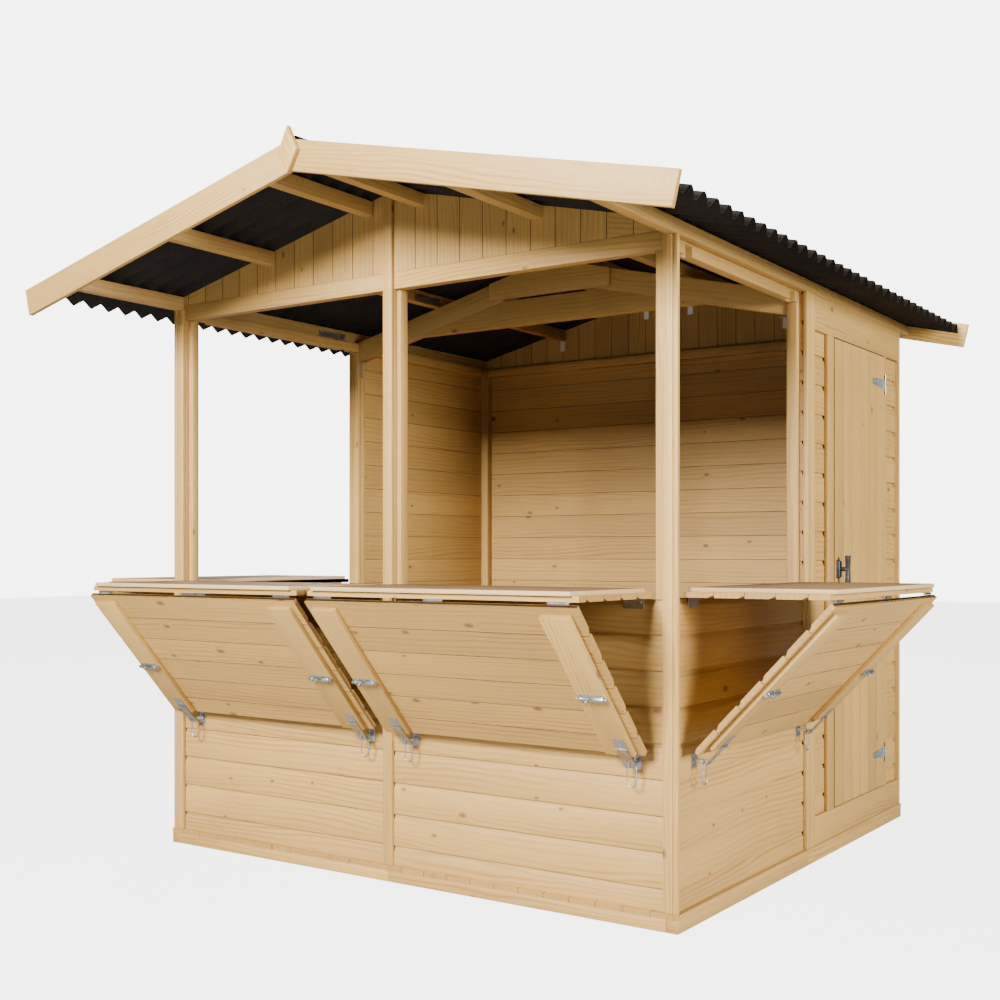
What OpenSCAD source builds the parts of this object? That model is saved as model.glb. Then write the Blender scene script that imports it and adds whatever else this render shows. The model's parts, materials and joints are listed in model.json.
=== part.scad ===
// Wooden market stall: timber hut with open serving bays, folding counters,
// brace flaps, a side door and a corrugated gable roof. Millimetres, +Z up.
// Built in a corner frame (X along the front gable, Y to the rear, ground at
// Z = 0) and moved so that the origin is the middle of the footprint.

/* [Overall] */
// Width across the front gable, over the corner strips
stall_w = 2500; // [2080:1:3000]
// Depth from the front face to the rear face
stall_d = 2406; // [2180:1:2900]
// Height of the level plates' top above the ground
plate_top = 2377; // [2377:1:2800]
// Roof pitch, in degrees
roof_pitch = 13.34; // [10:0.01:18]

/* [Timber] */
// Thickness of cladding, strips and frame boards
board_t = 18; // [15:1:24]
// Depth of the studs, measured through the wall
stud_d = 45; // [38:1:60]
// Width of the studs, measured along the wall
stud_w = 28; // [22:1:40]
// Height of the floor bearers
bearer_h = 45; // [35:1:70]
// Width of the floor bearers
bearer_w = 45; // [35:1:70]
// Thickness of the floor boards
floor_t = 19; // [15:1:28]
// How far the base stands proud of the walls
base_proud = 4; // [0:1:10]
// Width of the corner strips
corner_strip_w = 57; // [45:1:80]
// Width of the strips over the panel joints
joint_strip_w = 44; // [40:1:60]

/* [Roof] */
// Overhang of the roof in front of the front face
front_overhang = 562; // [300:1:700]
// Overhang of the roof behind the rear face
rear_overhang = 159; // [80:1:300]
// Reach of the bargeboards past each side wall
side_overhang = 290; // [200:1:340]
// Width of a bargeboard, square to its edge
barge_w = 112; // [90:1:150]
// Thickness of a bargeboard
barge_t = 20; // [16:1:28]
// Height of the corrugations
wave_h = 35; // [25:1:40]
// Number of corrugations along the roof
wave_n = 33; // [20:1:40]
// Thickness of the roof sheet
sheet_t = 3; // [2:0.5:5]
// Gap between the bargeboards' top line and the crests
crest_drop = 12; // [8:1:25]
// Width of a purlin
purlin_w = 45; // [35:1:60]
// Height of a purlin
purlin_h = 48; // [40:1:70]
// Depth of the truss members, square to their edge
truss_h = 100; // [70:1:120]
// Height of the truss tie
tie_h = 120; // [90:1:140]

/* [Counters and flaps] */
// Underside of the front counters above the ground
counter_z = 1137; // [1000:1:1200]
// How much higher the side counters sit
side_counter_up = 3; // [0:1:10]
// Depth of the front counters' boards
counter_d = 486; // [400:1:494]
// Depth of the side counters' boards
side_counter_d = 516; // [400:1:516]
// Thickness of the counter boards
counter_t = 19; // [16:1:24]
// Thickness of the smooth top sheet
top_t = 15; // [12:1:18]
// Overhang of the top sheet past the outer edge
top_lip = 12; // [5:1:15]
// Length of the front flaps, hinge to foot
flap_l = 685; // [560:1:690]
// Length of the side flaps, hinge to foot
side_flap_l = 706; // [560:1:708]
// How far the foot of a braced flap stands out from the face
foot_out = 31.1; // [28:0.1:60]
// Thickness of the flap battens
batten_t = 20; // [16:1:22]
// Width of the flap battens
batten_w = 115; // [60:1:130]

/* [Door] */
// Distance of the door leaf behind the joint in the side wall
door_in = 315; // [200:1:340]
// Width of the door leaf
door_w = 664; // [560:1:680]
// Height of the door leaf's foot above the ground
door_z = 192; // [150:1:260]
// Height of the door leaf
door_h = 2032; // [1750:1:2040]
// Gap round the door leaf
door_gap = 6; // [6:0.5:8]

/* [Hidden] */

pine = "#DCC092";
pale_pine = "#E6D2AC";
sheet_black = "#221C1A";
zinc = "#B9BCC2";
black = "#222222";

// Seams and joints
seam = 0.3;              // between pieces that are seated on each other
panel_gap = 1;           // between the two prefabricated panels of a wall
seam_x = stall_w / 2 - 8;
seam_y = stall_d / 2 - 17;
wall_z = bearer_h + floor_t;
clad_in = 2 * board_t;               // inner face of the cladding
frame_in = clad_in + stud_d;         // inner face of the studs
front_post_in = clad_in + 36;        // rear face of the front corner posts
plate_h = 45;
plate_z = plate_top - plate_h;
beam_h = 67;
beam_top = plate_top + 22;

// Front and side bays: edges of the openings in the strips' plane
front_left_bay = [corner_strip_w, seam_x - 33];
front_right_bay = [seam_x + 11, stall_w - corner_strip_w - 35];
side_bay = [50, seam_y - 4];
bay_play = 5;                        // counter and flap ends to the strips

// Hinge lines of the counters and flaps
pin_r = 4;                           // knuckle radius
pin_drop = 5;                        // pin centre below the boards
fold_play = 6;                       // closed boards to the studs behind
hinge_y = board_t - pin_drop - fold_play;  // counter pins, from the face
inner_y = hinge_y - pin_drop;        // inner edge of the counter boards
sill_z = counter_z - pin_drop - 1;   // top of the front low walls
side_sill_z = sill_z + side_counter_up;
joint_gap = 2;                       // counter edge to flap edge
stop_in = 26;                        // battens and top sheet, from the ends
batten_in = 12;                      // battens from the flap's foot and head

// One row a bay: place along the wall, angle, board width, lift, depth, flap,
// and the counter hinges' distance from the ends
BAYS = [
    [[front_left_bay[0] + bay_play, 0], 0,
     front_left_bay[1] - front_left_bay[0] - 2 * bay_play,
     0, counter_d, flap_l, 40],
    [[front_right_bay[0] + bay_play, 0], 0,
     front_right_bay[1] - front_right_bay[0] - 2 * bay_play,
     0, counter_d, flap_l, 40],
    [[stall_w, side_bay[0] + bay_play], 90,
     side_bay[1] - side_bay[0] - 2 * bay_play,
     side_counter_up, side_counter_d, side_flap_l, 62],
    [[0, side_bay[1] - bay_play], -90,
     side_bay[1] - side_bay[0] - 2 * bay_play,
     side_counter_up, side_counter_d, side_flap_l, 62]
];

// Roof lines, measured straight down from the bargeboards' top line
roof_slope = tan(roof_pitch);
crest_line = crest_drop;
sheet_line = crest_drop + (wave_h + sheet_t) / cos(roof_pitch);
purlin_line = sheet_line + purlin_h;
// The eave purlins lie on the side plates
apex_z = plate_top + seam + purlin_line + roof_slope * stall_w / 2;
truss_drop = truss_h / cos(roof_pitch);
barge_drop = barge_w / cos(roof_pitch);
roof_y0 = -front_overhang;
roof_y1 = stall_d + rear_overhang;
middle_purlin_x = 695;               // outer face, from the ridge
ridge_purlin_x = 155;                // outer face, from the ridge
eave_purlin_x = stall_w / 2;

function roof_z(x, drop) = apex_z - drop - roof_slope * abs(x - stall_w / 2);

module place() translate([-stall_w / 2, -stall_d / 2, 0]) children();

module bar(x0, x1, y0, y1, z0, z1)
    translate([x0, y0, z0]) cube([x1 - x0, y1 - y0, z1 - z0]);

// A copy on the left side of everything that is drawn on the right
module both_sides() {
    children();
    translate([stall_w, 0, 0]) mirror([1, 0, 0]) children();
}

// An outline in X and Z, drawn through the wall from y0 to y1
module upright(y0, y1)
    translate([0, y1, 0]) rotate([90, 0, 0]) linear_extrude(y1 - y0) children();

// ---- Base and floor -------------------------------------------------------
joist_rows = 4;

module joists(y0, y1) {
    step = (y1 - y0 - bearer_w) / (joist_rows - 1);
    for (i = [0:joist_rows - 1], half = [0, 1])
        bar(half ? seam_x + panel_gap / 2 : bearer_w - base_proud + seam,
            half ? stall_w - bearer_w + base_proud - seam : seam_x - panel_gap / 2,
            y0 + i * step, y0 + i * step + bearer_w, 0, bearer_h);
}

module base_bearers() color(pine) place() {
    joists(-base_proud, seam_y - panel_gap / 2);
    joists(seam_y + panel_gap / 2, stall_d + base_proud);
    both_sides() {
        bar(stall_w - bearer_w + base_proud, stall_w + base_proud,
            -base_proud, seam_y - panel_gap / 2, 0, bearer_h);
        bar(stall_w - bearer_w + base_proud, stall_w + base_proud,
            seam_y + panel_gap / 2, stall_d + base_proud, 0, bearer_h);
    }
}

module floor_decks() color(pine) place()
    for (x = [[-base_proud, seam_x - panel_gap / 2],
              [seam_x + panel_gap / 2, stall_w + base_proud]],
         y = [[-base_proud, seam_y - panel_gap / 2],
              [seam_y + panel_gap / 2, stall_d + base_proud]])
        bar(x[0], x[1], y[0], y[1], bearer_h, wall_z);

// ---- Cladding -------------------------------------------------------------
module low_walls() color(pine) place() {
    bar(clad_in + seam, seam_x - panel_gap / 2, board_t, clad_in,
        wall_z, sill_z);
    bar(seam_x + panel_gap / 2, stall_w - clad_in - seam, board_t, clad_in,
        wall_z, sill_z);
    both_sides()
        bar(stall_w - clad_in, stall_w - board_t, board_t,
            seam_y - panel_gap / 2, wall_z, side_sill_z);
}

module left_rear_wall() color(pine) place()
    bar(board_t, clad_in, seam_y + panel_gap / 2, stall_d - clad_in - seam,
        wall_z, plate_top);

module back_walls() color(pine) place() {
    bar(board_t, seam_x - panel_gap / 2, stall_d - clad_in, stall_d - board_t,
        wall_z, plate_top);
    bar(seam_x + panel_gap / 2, stall_w - board_t, stall_d - clad_in,
        stall_d - board_t, wall_z, plate_top);
}

// The doorway is the leaf and the gap round it
door_y = seam_y + door_in;
door_y1 = door_y + door_w;
door_top = door_z + door_h;
side_joint_y = seam_y + 85;          // rear edge of the side joint strips
door_strip_front = [door_y - door_gap - 74, door_y - door_gap];
door_strip_rear = [door_y1 + door_gap, door_y1 + door_gap + 22];

module right_rear_wall() color(pine) place() {
    y0 = door_strip_front[1];
    y1 = door_y1 + door_gap;
    bar(stall_w - clad_in, stall_w - board_t, seam_y + panel_gap / 2,
        y0 - seam, wall_z, plate_top);
    bar(stall_w - clad_in, stall_w - board_t, y1 + seam,
        stall_d - clad_in - seam, wall_z, plate_top);
    bar(stall_w - clad_in, stall_w - board_t, y0, y1,
        door_top + door_gap, plate_top);
    bar(stall_w - clad_in, stall_w - board_t, y0, y1,
        wall_z, door_z - door_gap);
}

// Strips beside the leaf, boards under and over it, and the jambs inside
module door_frame() color(pine) place() {
    for (y = [door_strip_front, door_strip_rear])
        bar(stall_w - board_t, stall_w, y[0], y[1], door_z - door_gap + seam,
            door_top + door_gap - seam);
    for (z = [[wall_z, door_z - door_gap], [door_top + door_gap, plate_top]])
        bar(stall_w - board_t, stall_w, side_joint_y + seam,
            stall_d - board_t - seam, z[0], z[1]);
    for (y = [door_strip_front[1] - stud_w + 12, door_y1 + door_gap - 12])
        bar(stall_w - frame_in, stall_w - clad_in, y, y + stud_w,
            wall_z, plate_z);
}

// Gable board wall over a beam: an outline with notches for the purlins
module gable_outline(z0, x0, x1) {
    fit = seam;
    difference() {
        polygon([[x0, z0], [x1, z0], [x1, roof_z(x1, sheet_line + fit)],
                 if (x0 < stall_w / 2 && x1 > stall_w / 2)
                     [stall_w / 2, roof_z(stall_w / 2, sheet_line + fit)],
                 [x0, roof_z(x0, sheet_line + fit)]]);
        for (x = [ridge_purlin_x, middle_purlin_x, eave_purlin_x], s = [-1, 1])
            purlin_notch(x, s, fit);
    }
}

module purlin_notch(x, s, fit) {
    a = stall_w / 2 + s * (x + fit);
    b = stall_w / 2 + s * (x - purlin_w - fit);
    polygon([[a, roof_z(a, purlin_line) - fit], [a, roof_z(a, 0)],
             [b, roof_z(b, 0)], [b, roof_z(a, purlin_line) - fit]]);
}

module gable(y0, z0)
    upright(y0, y0 + board_t) {
        gable_outline(z0, clad_in, seam_x - panel_gap / 2);
        gable_outline(z0, seam_x + panel_gap / 2, stall_w - clad_in);
    }

module front_gable() color(pine) place() gable(board_t, beam_top + seam);

module back_gable() color(pine) place()
    gable(stall_d - clad_in, plate_top + seam);

// ---- Strips ---------------------------------------------------------------
module corner_strips() both_sides() {
    top = roof_z(stall_w, purlin_line) - seam;
    // front corner: a square lath that covers the edge of the front strip
    bar(stall_w - board_t, stall_w, 0, board_t, wall_z, top);
    bar(stall_w - corner_strip_w, stall_w - board_t - seam, 0, board_t,
        wall_z, top);
    // rear corner: one strip on the rear face
    bar(stall_w - corner_strip_w, stall_w, stall_d - board_t, stall_d,
        wall_z, top);
}

module joint_strips() {
    gable_z = roof_z(seam_x - 33, sheet_line) - seam;
    bar(seam_x - 33, seam_x - 33 + joint_strip_w, 0, board_t, wall_z, gable_z);
    bar(seam_x - 22, seam_x - 22 + joint_strip_w, stall_d - board_t, stall_d,
        wall_z, gable_z);
    both_sides() {
        top = roof_z(stall_w, purlin_line) - seam;
        bar(stall_w - board_t, stall_w, seam_y - 4, seam_y + 38, wall_z, top);
        bar(stall_w - board_t, stall_w, seam_y + 40, side_joint_y,
            wall_z, top);
    }
}

module cover_strips() color(pale_pine) place() {
    corner_strips();
    joint_strips();
}

// ---- Frame ----------------------------------------------------------------
// Square posts with the filler laths that close the cladding's plane
module corner_posts() color(pine) place() {
    both_sides() {
        bar(stall_w - frame_in, stall_w - clad_in - seam, clad_in + seam,
            front_post_in, wall_z, plate_z);
        bar(stall_w - clad_in, stall_w - board_t, board_t,
            side_bay[0], side_sill_z + seam, plate_top);
        bar(stall_w - frame_in, stall_w - clad_in - seam,
            stall_d - frame_in, stall_d - clad_in - seam, wall_z, plate_z);
    }
    bar(front_right_bay[1], stall_w - clad_in - seam, board_t, clad_in,
        sill_z + seam, beam_top - beam_h);
    bar(clad_in + seam, front_left_bay[0], board_t, clad_in,
        sill_z + seam, beam_top - beam_h);
    bar(front_left_bay[1], front_right_bay[0], board_t, clad_in,
        sill_z + seam, beam_top - beam_h);
}

module wall_studs() {
    for (x = [seam_x - stud_w - panel_gap / 2, seam_x + panel_gap / 2]) {
        bar(x, x + stud_w, clad_in, frame_in, wall_z, beam_top - beam_h);
        bar(x, x + stud_w, stall_d - frame_in, stall_d - clad_in,
            wall_z, plate_z);
    }
    both_sides()
        for (y = [seam_y - stud_w - panel_gap / 2, seam_y + panel_gap / 2])
            bar(stall_w - frame_in, stall_w - clad_in, y, y + stud_w,
                wall_z, plate_z);
}

// Level rails at the top of the low walls and at the floor, between the studs
module wall_rails() {
    rail = stud_w;
    x_cuts = [frame_in + seam, seam_x - stud_w - panel_gap / 2 - seam,
              seam_x + panel_gap / 2 + stud_w + seam,
              stall_w - frame_in - seam];
    for (i = [0, 2], z = [wall_z, sill_z - rail])
        bar(x_cuts[i], x_cuts[i + 1], clad_in, frame_in, z, z + rail);
    for (i = [0, 2])
        bar(x_cuts[i], x_cuts[i + 1], stall_d - frame_in, stall_d - clad_in,
            wall_z, wall_z + rail);
    both_sides()
        for (z = [wall_z, side_sill_z - rail])
            bar(stall_w - frame_in, stall_w - clad_in, front_post_in + seam,
                seam_y - stud_w - panel_gap / 2 - seam, z, z + rail);
}

module wall_frames() color(pine) place() {
    wall_studs();
    wall_rails();
}

module end_beams() {
    for (x = [[clad_in + seam, seam_x - panel_gap / 2],
              [seam_x + panel_gap / 2, stall_w - clad_in - seam]]) {
        difference() {
            bar(x[0], x[1], board_t, clad_in, beam_top - beam_h, beam_top);
            for (side = [-1, 1])
                upright(0, 2 * clad_in) purlin_notch(eave_purlin_x, side, seam);
        }
        inner = [max(x[0], clad_in + stud_d + seam),
                 min(x[1], stall_w - frame_in - seam)];
        bar(inner[0], inner[1], clad_in, clad_in + stud_w,
            beam_top - beam_h, beam_top);
        bar(inner[0], inner[1], stall_d - frame_in, stall_d - clad_in,
            plate_z, plate_top);
    }
}

module side_plates() difference() {
    both_sides() {
        bar(stall_w - frame_in, stall_w - clad_in, clad_in + seam,
            seam_y - panel_gap / 2, plate_z, plate_top);
        bar(stall_w - frame_in, stall_w - clad_in, seam_y + panel_gap / 2,
            stall_d - clad_in - seam, plate_z, plate_top);
    }
    // housings for the hasps of the closed side flaps
    for (b = [2, 3]) bay(b) for (x = hasp_x(b))
        bar(x - hasp_w / 2 - fold_play, x + hasp_w / 2 + fold_play,
            clad_in - 1, clad_in + 28, plate_z - 1,
            closed_top(b) + fold_play);
}

module top_beams() color(pine) place() {
    end_beams();
    side_plates();
}

// ---- Roof -----------------------------------------------------------------
module purlin(x, drop)
    upright(roof_y0 + barge_t + seam, roof_y1 - barge_t - seam) {
        a = stall_w / 2 + x;
        b = a - purlin_w;
        polygon([[a, roof_z(a, purlin_line)], [a, roof_z(a, drop)],
                 [b, roof_z(b, drop)], [b, roof_z(a, purlin_line)]]);
    }

module purlins() color(pine) place() both_sides()
    for (x = [ridge_purlin_x, middle_purlin_x, eave_purlin_x])
        purlin(x, sheet_line + seam);

truss_y = seam_y - 22;               // front face of the truss
tie_z = plate_z + 43;

module truss() color(pine) place() {
    under = purlin_line + 12;
    inner_x = stall_w - frame_in - seam;
    mid = stall_w / 2 + seam;
    low = under + truss_drop;
    upright(truss_y, truss_y + stud_d) {
        both_sides()
            polygon([[mid, roof_z(mid, under)], [mid, roof_z(mid, low)],
                     [inner_x, roof_z(inner_x, low)],
                     [inner_x, roof_z(inner_x, under)]]);
    }
    // the tie fits between the rafters
    half = (apex_z - low - tie_z) / roof_slope - 1;
    top_half = (apex_z - low - tie_z - tie_h) / roof_slope - 1;
    upright(truss_y, truss_y + stud_d)
        polygon([[stall_w / 2 - half, tie_z], [stall_w / 2 + half, tie_z],
                 [stall_w / 2 + top_half, tie_z + tie_h],
                 [stall_w / 2 - top_half, tie_z + tie_h]]);
    // apex plate on the front of the rafters
    plate_half = 330;
    upright(truss_y - board_t - seam, truss_y - seam)
        polygon([[stall_w / 2 - plate_half, tie_z + tie_h + 8],
                 [stall_w / 2 + plate_half, tie_z + tie_h + 8],
                 [stall_w / 2 + plate_half,
                  roof_z(stall_w / 2 + plate_half, under)],
                 [stall_w / 2, roof_z(stall_w / 2, under)],
                 [stall_w / 2 - plate_half,
                  roof_z(stall_w / 2 + plate_half, under)]]);
}

// Corrugated sheet: a wave along Y, drawn down the slope
wave_steps = 6;
sheet_y0 = roof_y0 + barge_t + seam;
sheet_y1 = roof_y1 - barge_t - seam;
wave_pitch = (sheet_y1 - sheet_y0) / wave_n;
eave_x = stall_w / 2 + side_overhang - 50;

function wave(i) = wave_h * (1 - cos(360 * i / wave_steps)) / 2;

module sheet_outline() {
    last = wave_n * wave_steps;
    under = [for (i = [0:last]) [i * wave_pitch / wave_steps, wave(i)]];
    over = [for (i = [last:-1:0])
        [i * wave_pitch / wave_steps, wave(i) + sheet_t]];
    polygon(concat(under, over));
}

module roof_sheet() {
    c = cos(roof_pitch);
    s = sin(roof_pitch);
    start = 4;
    z0 = apex_z - sheet_line - roof_slope * start;
    translate([stall_w / 2 + start, sheet_y0, z0])
        multmatrix([[0, s, c, 0], [1, 0, 0, 0], [0, c, -s, 0], [0, 0, 0, 1]])
            linear_extrude((eave_x - start) / c) sheet_outline();
}

module roof_sheet_right() color(sheet_black) place() roof_sheet();

module roof_sheet_left() color(sheet_black) place()
    translate([stall_w, 0, 0]) mirror([1, 0, 0]) roof_sheet();

// A folded cap with a hollow roll along the ridge
module cap_wings(drop) {
    wing = 110;
    mid = stall_w / 2;
    polygon([[mid - wing, roof_z(mid - wing, drop)], [mid, roof_z(mid, drop)],
             [mid + wing, roof_z(mid + wing, drop)],
             [mid + wing, apex_z - 3 * wing], [mid - wing, apex_z - 3 * wing]]);
}

module ridge_cap() color(sheet_black) place() {
    roll_r = 28;
    upright(sheet_y0, sheet_y1) difference() {
        union() {
            cap_wings(crest_line - sheet_t - seam);
            translate([stall_w / 2, apex_z - crest_line])
                circle(r = roll_r, $fn = 32);
        }
        translate([stall_w / 2, apex_z - crest_line])
            circle(r = roll_r - sheet_t, $fn = 32);
        cap_wings(crest_line - seam);
    }
}

module bargeboard(y0) upright(y0, y0 + barge_t) {
    x0 = stall_w / 2 + 0.5;
    x1 = stall_w + side_overhang;
    cut = barge_w * sin(roof_pitch);
    polygon([[x0, roof_z(x0, 0)], [x0, roof_z(x0, barge_drop)],
             [x1 - cut, roof_z(x1 - cut, barge_drop)], [x1, roof_z(x1, 0)]]);
}

module bargeboards() color(pale_pine) place() both_sides() {
    bargeboard(roof_y0);
    bargeboard(roof_y1 - barge_t);
}

finial_t = 20;
finial_half_w = 45;
finial_up = 44;
finial_waist = 46;                   // widest point below the apex
finial_down = 126;

module finials() color(pale_pine) place()
    for (y = [roof_y0 - finial_t, roof_y1])
        upright(y, y + finial_t)
            polygon([[stall_w / 2, apex_z + finial_up],
                     [stall_w / 2 - finial_half_w, apex_z - finial_waist],
                     [stall_w / 2, apex_z - finial_down],
                     [stall_w / 2 + finial_half_w, apex_z - finial_waist]]);

// ---- Metalwork on the fixed frame -----------------------------------------
plate_t = 2;

module roof_connectors() color(zinc) place() {
    splice_l = 200;
    both_sides() {
        // perforated plates over the purlin splices
        for (p = [[eave_purlin_x, 900], [middle_purlin_x, 975],
                  [ridge_purlin_x, 900]]) {
            x = stall_w / 2 + p[0] - purlin_w;
            z = roof_z(stall_w / 2 + p[0], purlin_line) + 4;
            bar(x - plate_t, x, p[1], p[1] + splice_l, z, z + 38);
        }
        // angle brackets under the purlins at the back gable
        for (p = [middle_purlin_x, ridge_purlin_x]) {
            x = stall_w / 2 + p - purlin_w / 2;
            z = roof_z(stall_w / 2 + p, purlin_line);
            translate([x - 15, stall_d - clad_in, z])
                rotate([180, 0, 0]) angle_plate(30, 60, 40);
        }
        // truss heels: one leg down the studs, one under the rafter
        x = stall_w - frame_in;
        z = roof_z(x, purlin_line + 12 + truss_drop) - seam;
        bar(x - plate_t, x, truss_y + 2, truss_y + 32, z - 80, z);
        bar(x - 40, x, truss_y + 2, truss_y + 32, z - plate_t, z);
    }
}

// Angle plate: one leg up the wall (+Z) by up, one leg out (+Y) by out
module angle_plate(wide, up, out) {
    cube([wide, plate_t, up]);
    cube([wide, out, plate_t]);
}

hinge_l = 80;                        // counter and flap hinges
flap_hinge_in = 35;                  // flap hinges from the flap's ends
wall_leaf = 33;

// Edge of a hinge leaf that clears its knuckle: distance from the pin centre
leaf_start = sqrt(pow(pin_r + seam, 2) - pow(pin_drop - plate_t, 2));

// Hasps and staples on the batten feet
hasp_in = 20;                        // hasp centre past the batten's middle
hasp_w = 44;
hasp_pin_up = 50;                    // hasp pin above the flap's foot
hasp_tail = 46;                      // strap's end past the flap's foot
hasp_cut = 1;                        // its end on the flap, past the foot
slot_from = 2;                       // slot, past the flap's foot
slot_to = 40;
staple_h = 13;
staple_w = 6;
staple_s = 28;                       // middle of the staple, past the foot
eye_in = 20;                         // hook's eye behind the strap
prong_out = 4;                       // staple's end beyond the strap
eye_r = 4;
hook_r = 2.5;                        // wire of the snap hook
hook_bow_r = 17.5;
hook_leg = 45;

// Places along a bay of the counter hinges, the battens and the hasps on them
function hinge_x(b) = [BAYS[b][6], BAYS[b][2] - BAYS[b][6] - hinge_l];
function batten_x(b) = [stop_in, BAYS[b][2] - stop_in - batten_w];
function hasp_x(b) = [for (x = batten_x(b)) x + batten_w / 2 + hasp_in];

// Pin of a flap: distance out and height, in the bay's own frame
function flap_pin(b) = [inner_y - BAYS[b][4] - joint_gap / 2,
                        counter_z + BAYS[b][3] - pin_drop];

// Angle a flap turns from flush with the counter to its brace position
function brace(b) =
    180 - acos((-flap_pin(b)[0] - foot_out) / BAYS[b][5]);

// A point of the flap at rest: s along it from the pin, t off its inner face
function flap_point(b, s, t) =
    [flap_pin(b)[0] - s * cos(brace(b)) - t * sin(brace(b)),
     flap_pin(b)[1] - s * sin(brace(b)) + t * cos(brace(b))];
batten_face = pin_drop + board_t + batten_t;

// Height of a flap's foot when the bay is closed
function closed_top(b) =
    flap_pin(b)[1] + hinge_y - flap_pin(b)[0] + BAYS[b][5] + joint_gap / 2;

module bay(b)
    translate([BAYS[b][0][0], BAYS[b][0][1], 0])
        rotate([0, 0, BAYS[b][1]]) children();

module wall_fittings() color(zinc) place() {
    for (b = [0:3]) bay(b) {
        z = flap_pin(b)[1];
        // counter hinges: a leaf on the cladding, a web and a knuckle
        for (x = hinge_x(b)) {
            bar(x, x + hinge_l, board_t - plate_t, board_t,
                z - wall_leaf, z);
            bar(x, x + hinge_l, hinge_y, board_t, z - plate_t, z);
            translate([x, hinge_y, z]) rotate([0, 90, 0])
                cylinder(r = pin_r, h = hinge_l, $fn = 24);
        }
    }
    // fixed leaves of the door hinges
    for (z = door_hinge_z)
        bar(stall_w, stall_w + plate_t, door_pin_y + leaf_start,
            door_strip_rear[1] - 1, z - knuckle_h / 2, z + knuckle_h / 2);
}

// Staples with the ends of the hasps on them, and a snap hook in each eye
module hasp_staples() color(zinc) place() {
    for (b = [0:3]) hasp_end(b);
    for (b = [0:3]) bay(b) {
        p = flap_point(b, BAYS[b][5] + staple_s, batten_face + 3);
        eye_y = p[0] + eye_in;
        for (x = hasp_x(b)) translate([x, 0, 0]) {
            bar(-15, 15, board_t - plate_t, board_t, p[1] - 25, p[1] + 25);
            difference() {
                bar(-staple_w / 2, staple_w / 2, p[0] - prong_out,
                    board_t - plate_t, p[1] - staple_h / 2, p[1] + staple_h / 2);
                translate([-staple_w, eye_y, p[1]]) rotate([0, 90, 0])
                    cylinder(r = eye_r, h = 2 * staple_w, $fn = 24);
            }
            translate([0, eye_y, p[1] - eye_r + hook_r + seam])
                snap_hook();
        }
    }
}

// End of a hasp strap past the flap's foot, with the slot for the staple
module hasp_end(b) flap_frame(b)
    for (x = hasp_x(b))
        translate([x, -BAYS[b][5], batten_face + pin_r]) difference() {
            bar(-hasp_w / 2, hasp_w / 2, -hasp_tail, -hasp_cut - seam,
                -plate_t, 0);
            bar(-staple_w / 2 - seam, staple_w / 2 + seam, -slot_to,
                -slot_from - hasp_cut, -plate_t - 1, 1);
        }

// Oval hook in the X-Z plane, hung with the middle of its top wire at 0
module snap_hook() translate([0, 0, -hook_bow_r]) rotate([90, 0, 0]) {
    rotate_extrude(angle = 180, $fn = 32)
        translate([hook_bow_r, 0]) circle(r = hook_r, $fn = 16);
    translate([0, -hook_leg, 0]) rotate([0, 0, 180])
        rotate_extrude(angle = 180, $fn = 32)
            translate([hook_bow_r, 0]) circle(r = hook_r, $fn = 16);
    for (x = [-hook_bow_r, hook_bow_r])
        translate([x, 0, 0]) rotate([90, 0, 0])
            cylinder(r = hook_r, h = hook_leg, $fn = 16);
}

// ---- Door -----------------------------------------------------------------
door_hinge_z = [door_z + 156, door_top - 129];
door_pin_y = door_y1 + door_gap / 2;
door_pin_x = stall_w + pin_drop;
knuckle_h = 94;                      // door hinges: knuckle and frame leaf
strap_l = 165;                       // strap on the leaf, from its edge
strap_root = 26;                     // half heights of the strap's two ends
strap_tip = 12;
leaf_x = stall_w - board_t;          // inner face of the leaf's boards
ledge_w = 95;
ledge_t = 18;

module door_leaf() color(pine) place() {
    bar(leaf_x, stall_w, door_y, door_y1, door_z, door_top);
    for (z = [door_z + 150, door_z + door_h / 2, door_top - 150 - ledge_w])
        bar(leaf_x - ledge_t, leaf_x, door_y + 40, door_y1 - 40,
            z, z + ledge_w);
}

module door_hinges() color(zinc) place()
    for (z = door_hinge_z) {
        translate([door_pin_x, door_pin_y, z - knuckle_h / 2])
            cylinder(r = pin_r, h = knuckle_h, $fn = 24);
        root_y = door_pin_y - pin_r + 1;
        tip_y = door_y1 - strap_l;
        translate([stall_w, 0, z]) rotate([90, 0, 90]) linear_extrude(plate_t)
            polygon([[tip_y, -strap_tip], [root_y, -strap_root],
                     [root_y, strap_root], [tip_y, strap_tip]]);
        bar(stall_w + plate_t, door_pin_x, door_pin_y - pin_r,
            door_pin_y, z - strap_root, z + strap_root);
    }

handle_z = 1222;
handle_y = door_y + 38;
rose_t = 14;                         // plate on the leaf
rose_h = 83;
grip_out = 41;                       // grip's near face, from the leaf
grip_h = 120;

module door_handle() color(black) place() {
    bar(stall_w, stall_w + rose_t, handle_y - 17, handle_y + 17,
        handle_z - rose_h / 2, handle_z + rose_h / 2);
    translate([stall_w + rose_t, handle_y, handle_z]) rotate([0, 90, 0])
        cylinder(r = 10, h = grip_out - rose_t, $fn = 24);
    bar(stall_w + grip_out, stall_w + grip_out + 14,
        handle_y - 11, handle_y + 11,
        handle_z - grip_h / 2, handle_z + grip_h / 2);
}

// ---- Counters and flaps ---------------------------------------------------
// Drawn in a bay's own frame: X along the wall, -Y outwards
module counter(b) bay(b) {
    w = BAYS[b][2];
    z = counter_z + BAYS[b][3];
    out = inner_y - BAYS[b][4];
    bar(0, w, out, inner_y, z, z + counter_t);
    bar(stop_in, w - stop_in, out - top_lip, 0,
        z + counter_t, z + counter_t + top_t);
}

// Battens stop short of the foot, and clear of the plate when closed
function batten_end(b) = max(batten_in, closed_top(b) - plate_z + fold_play);

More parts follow.
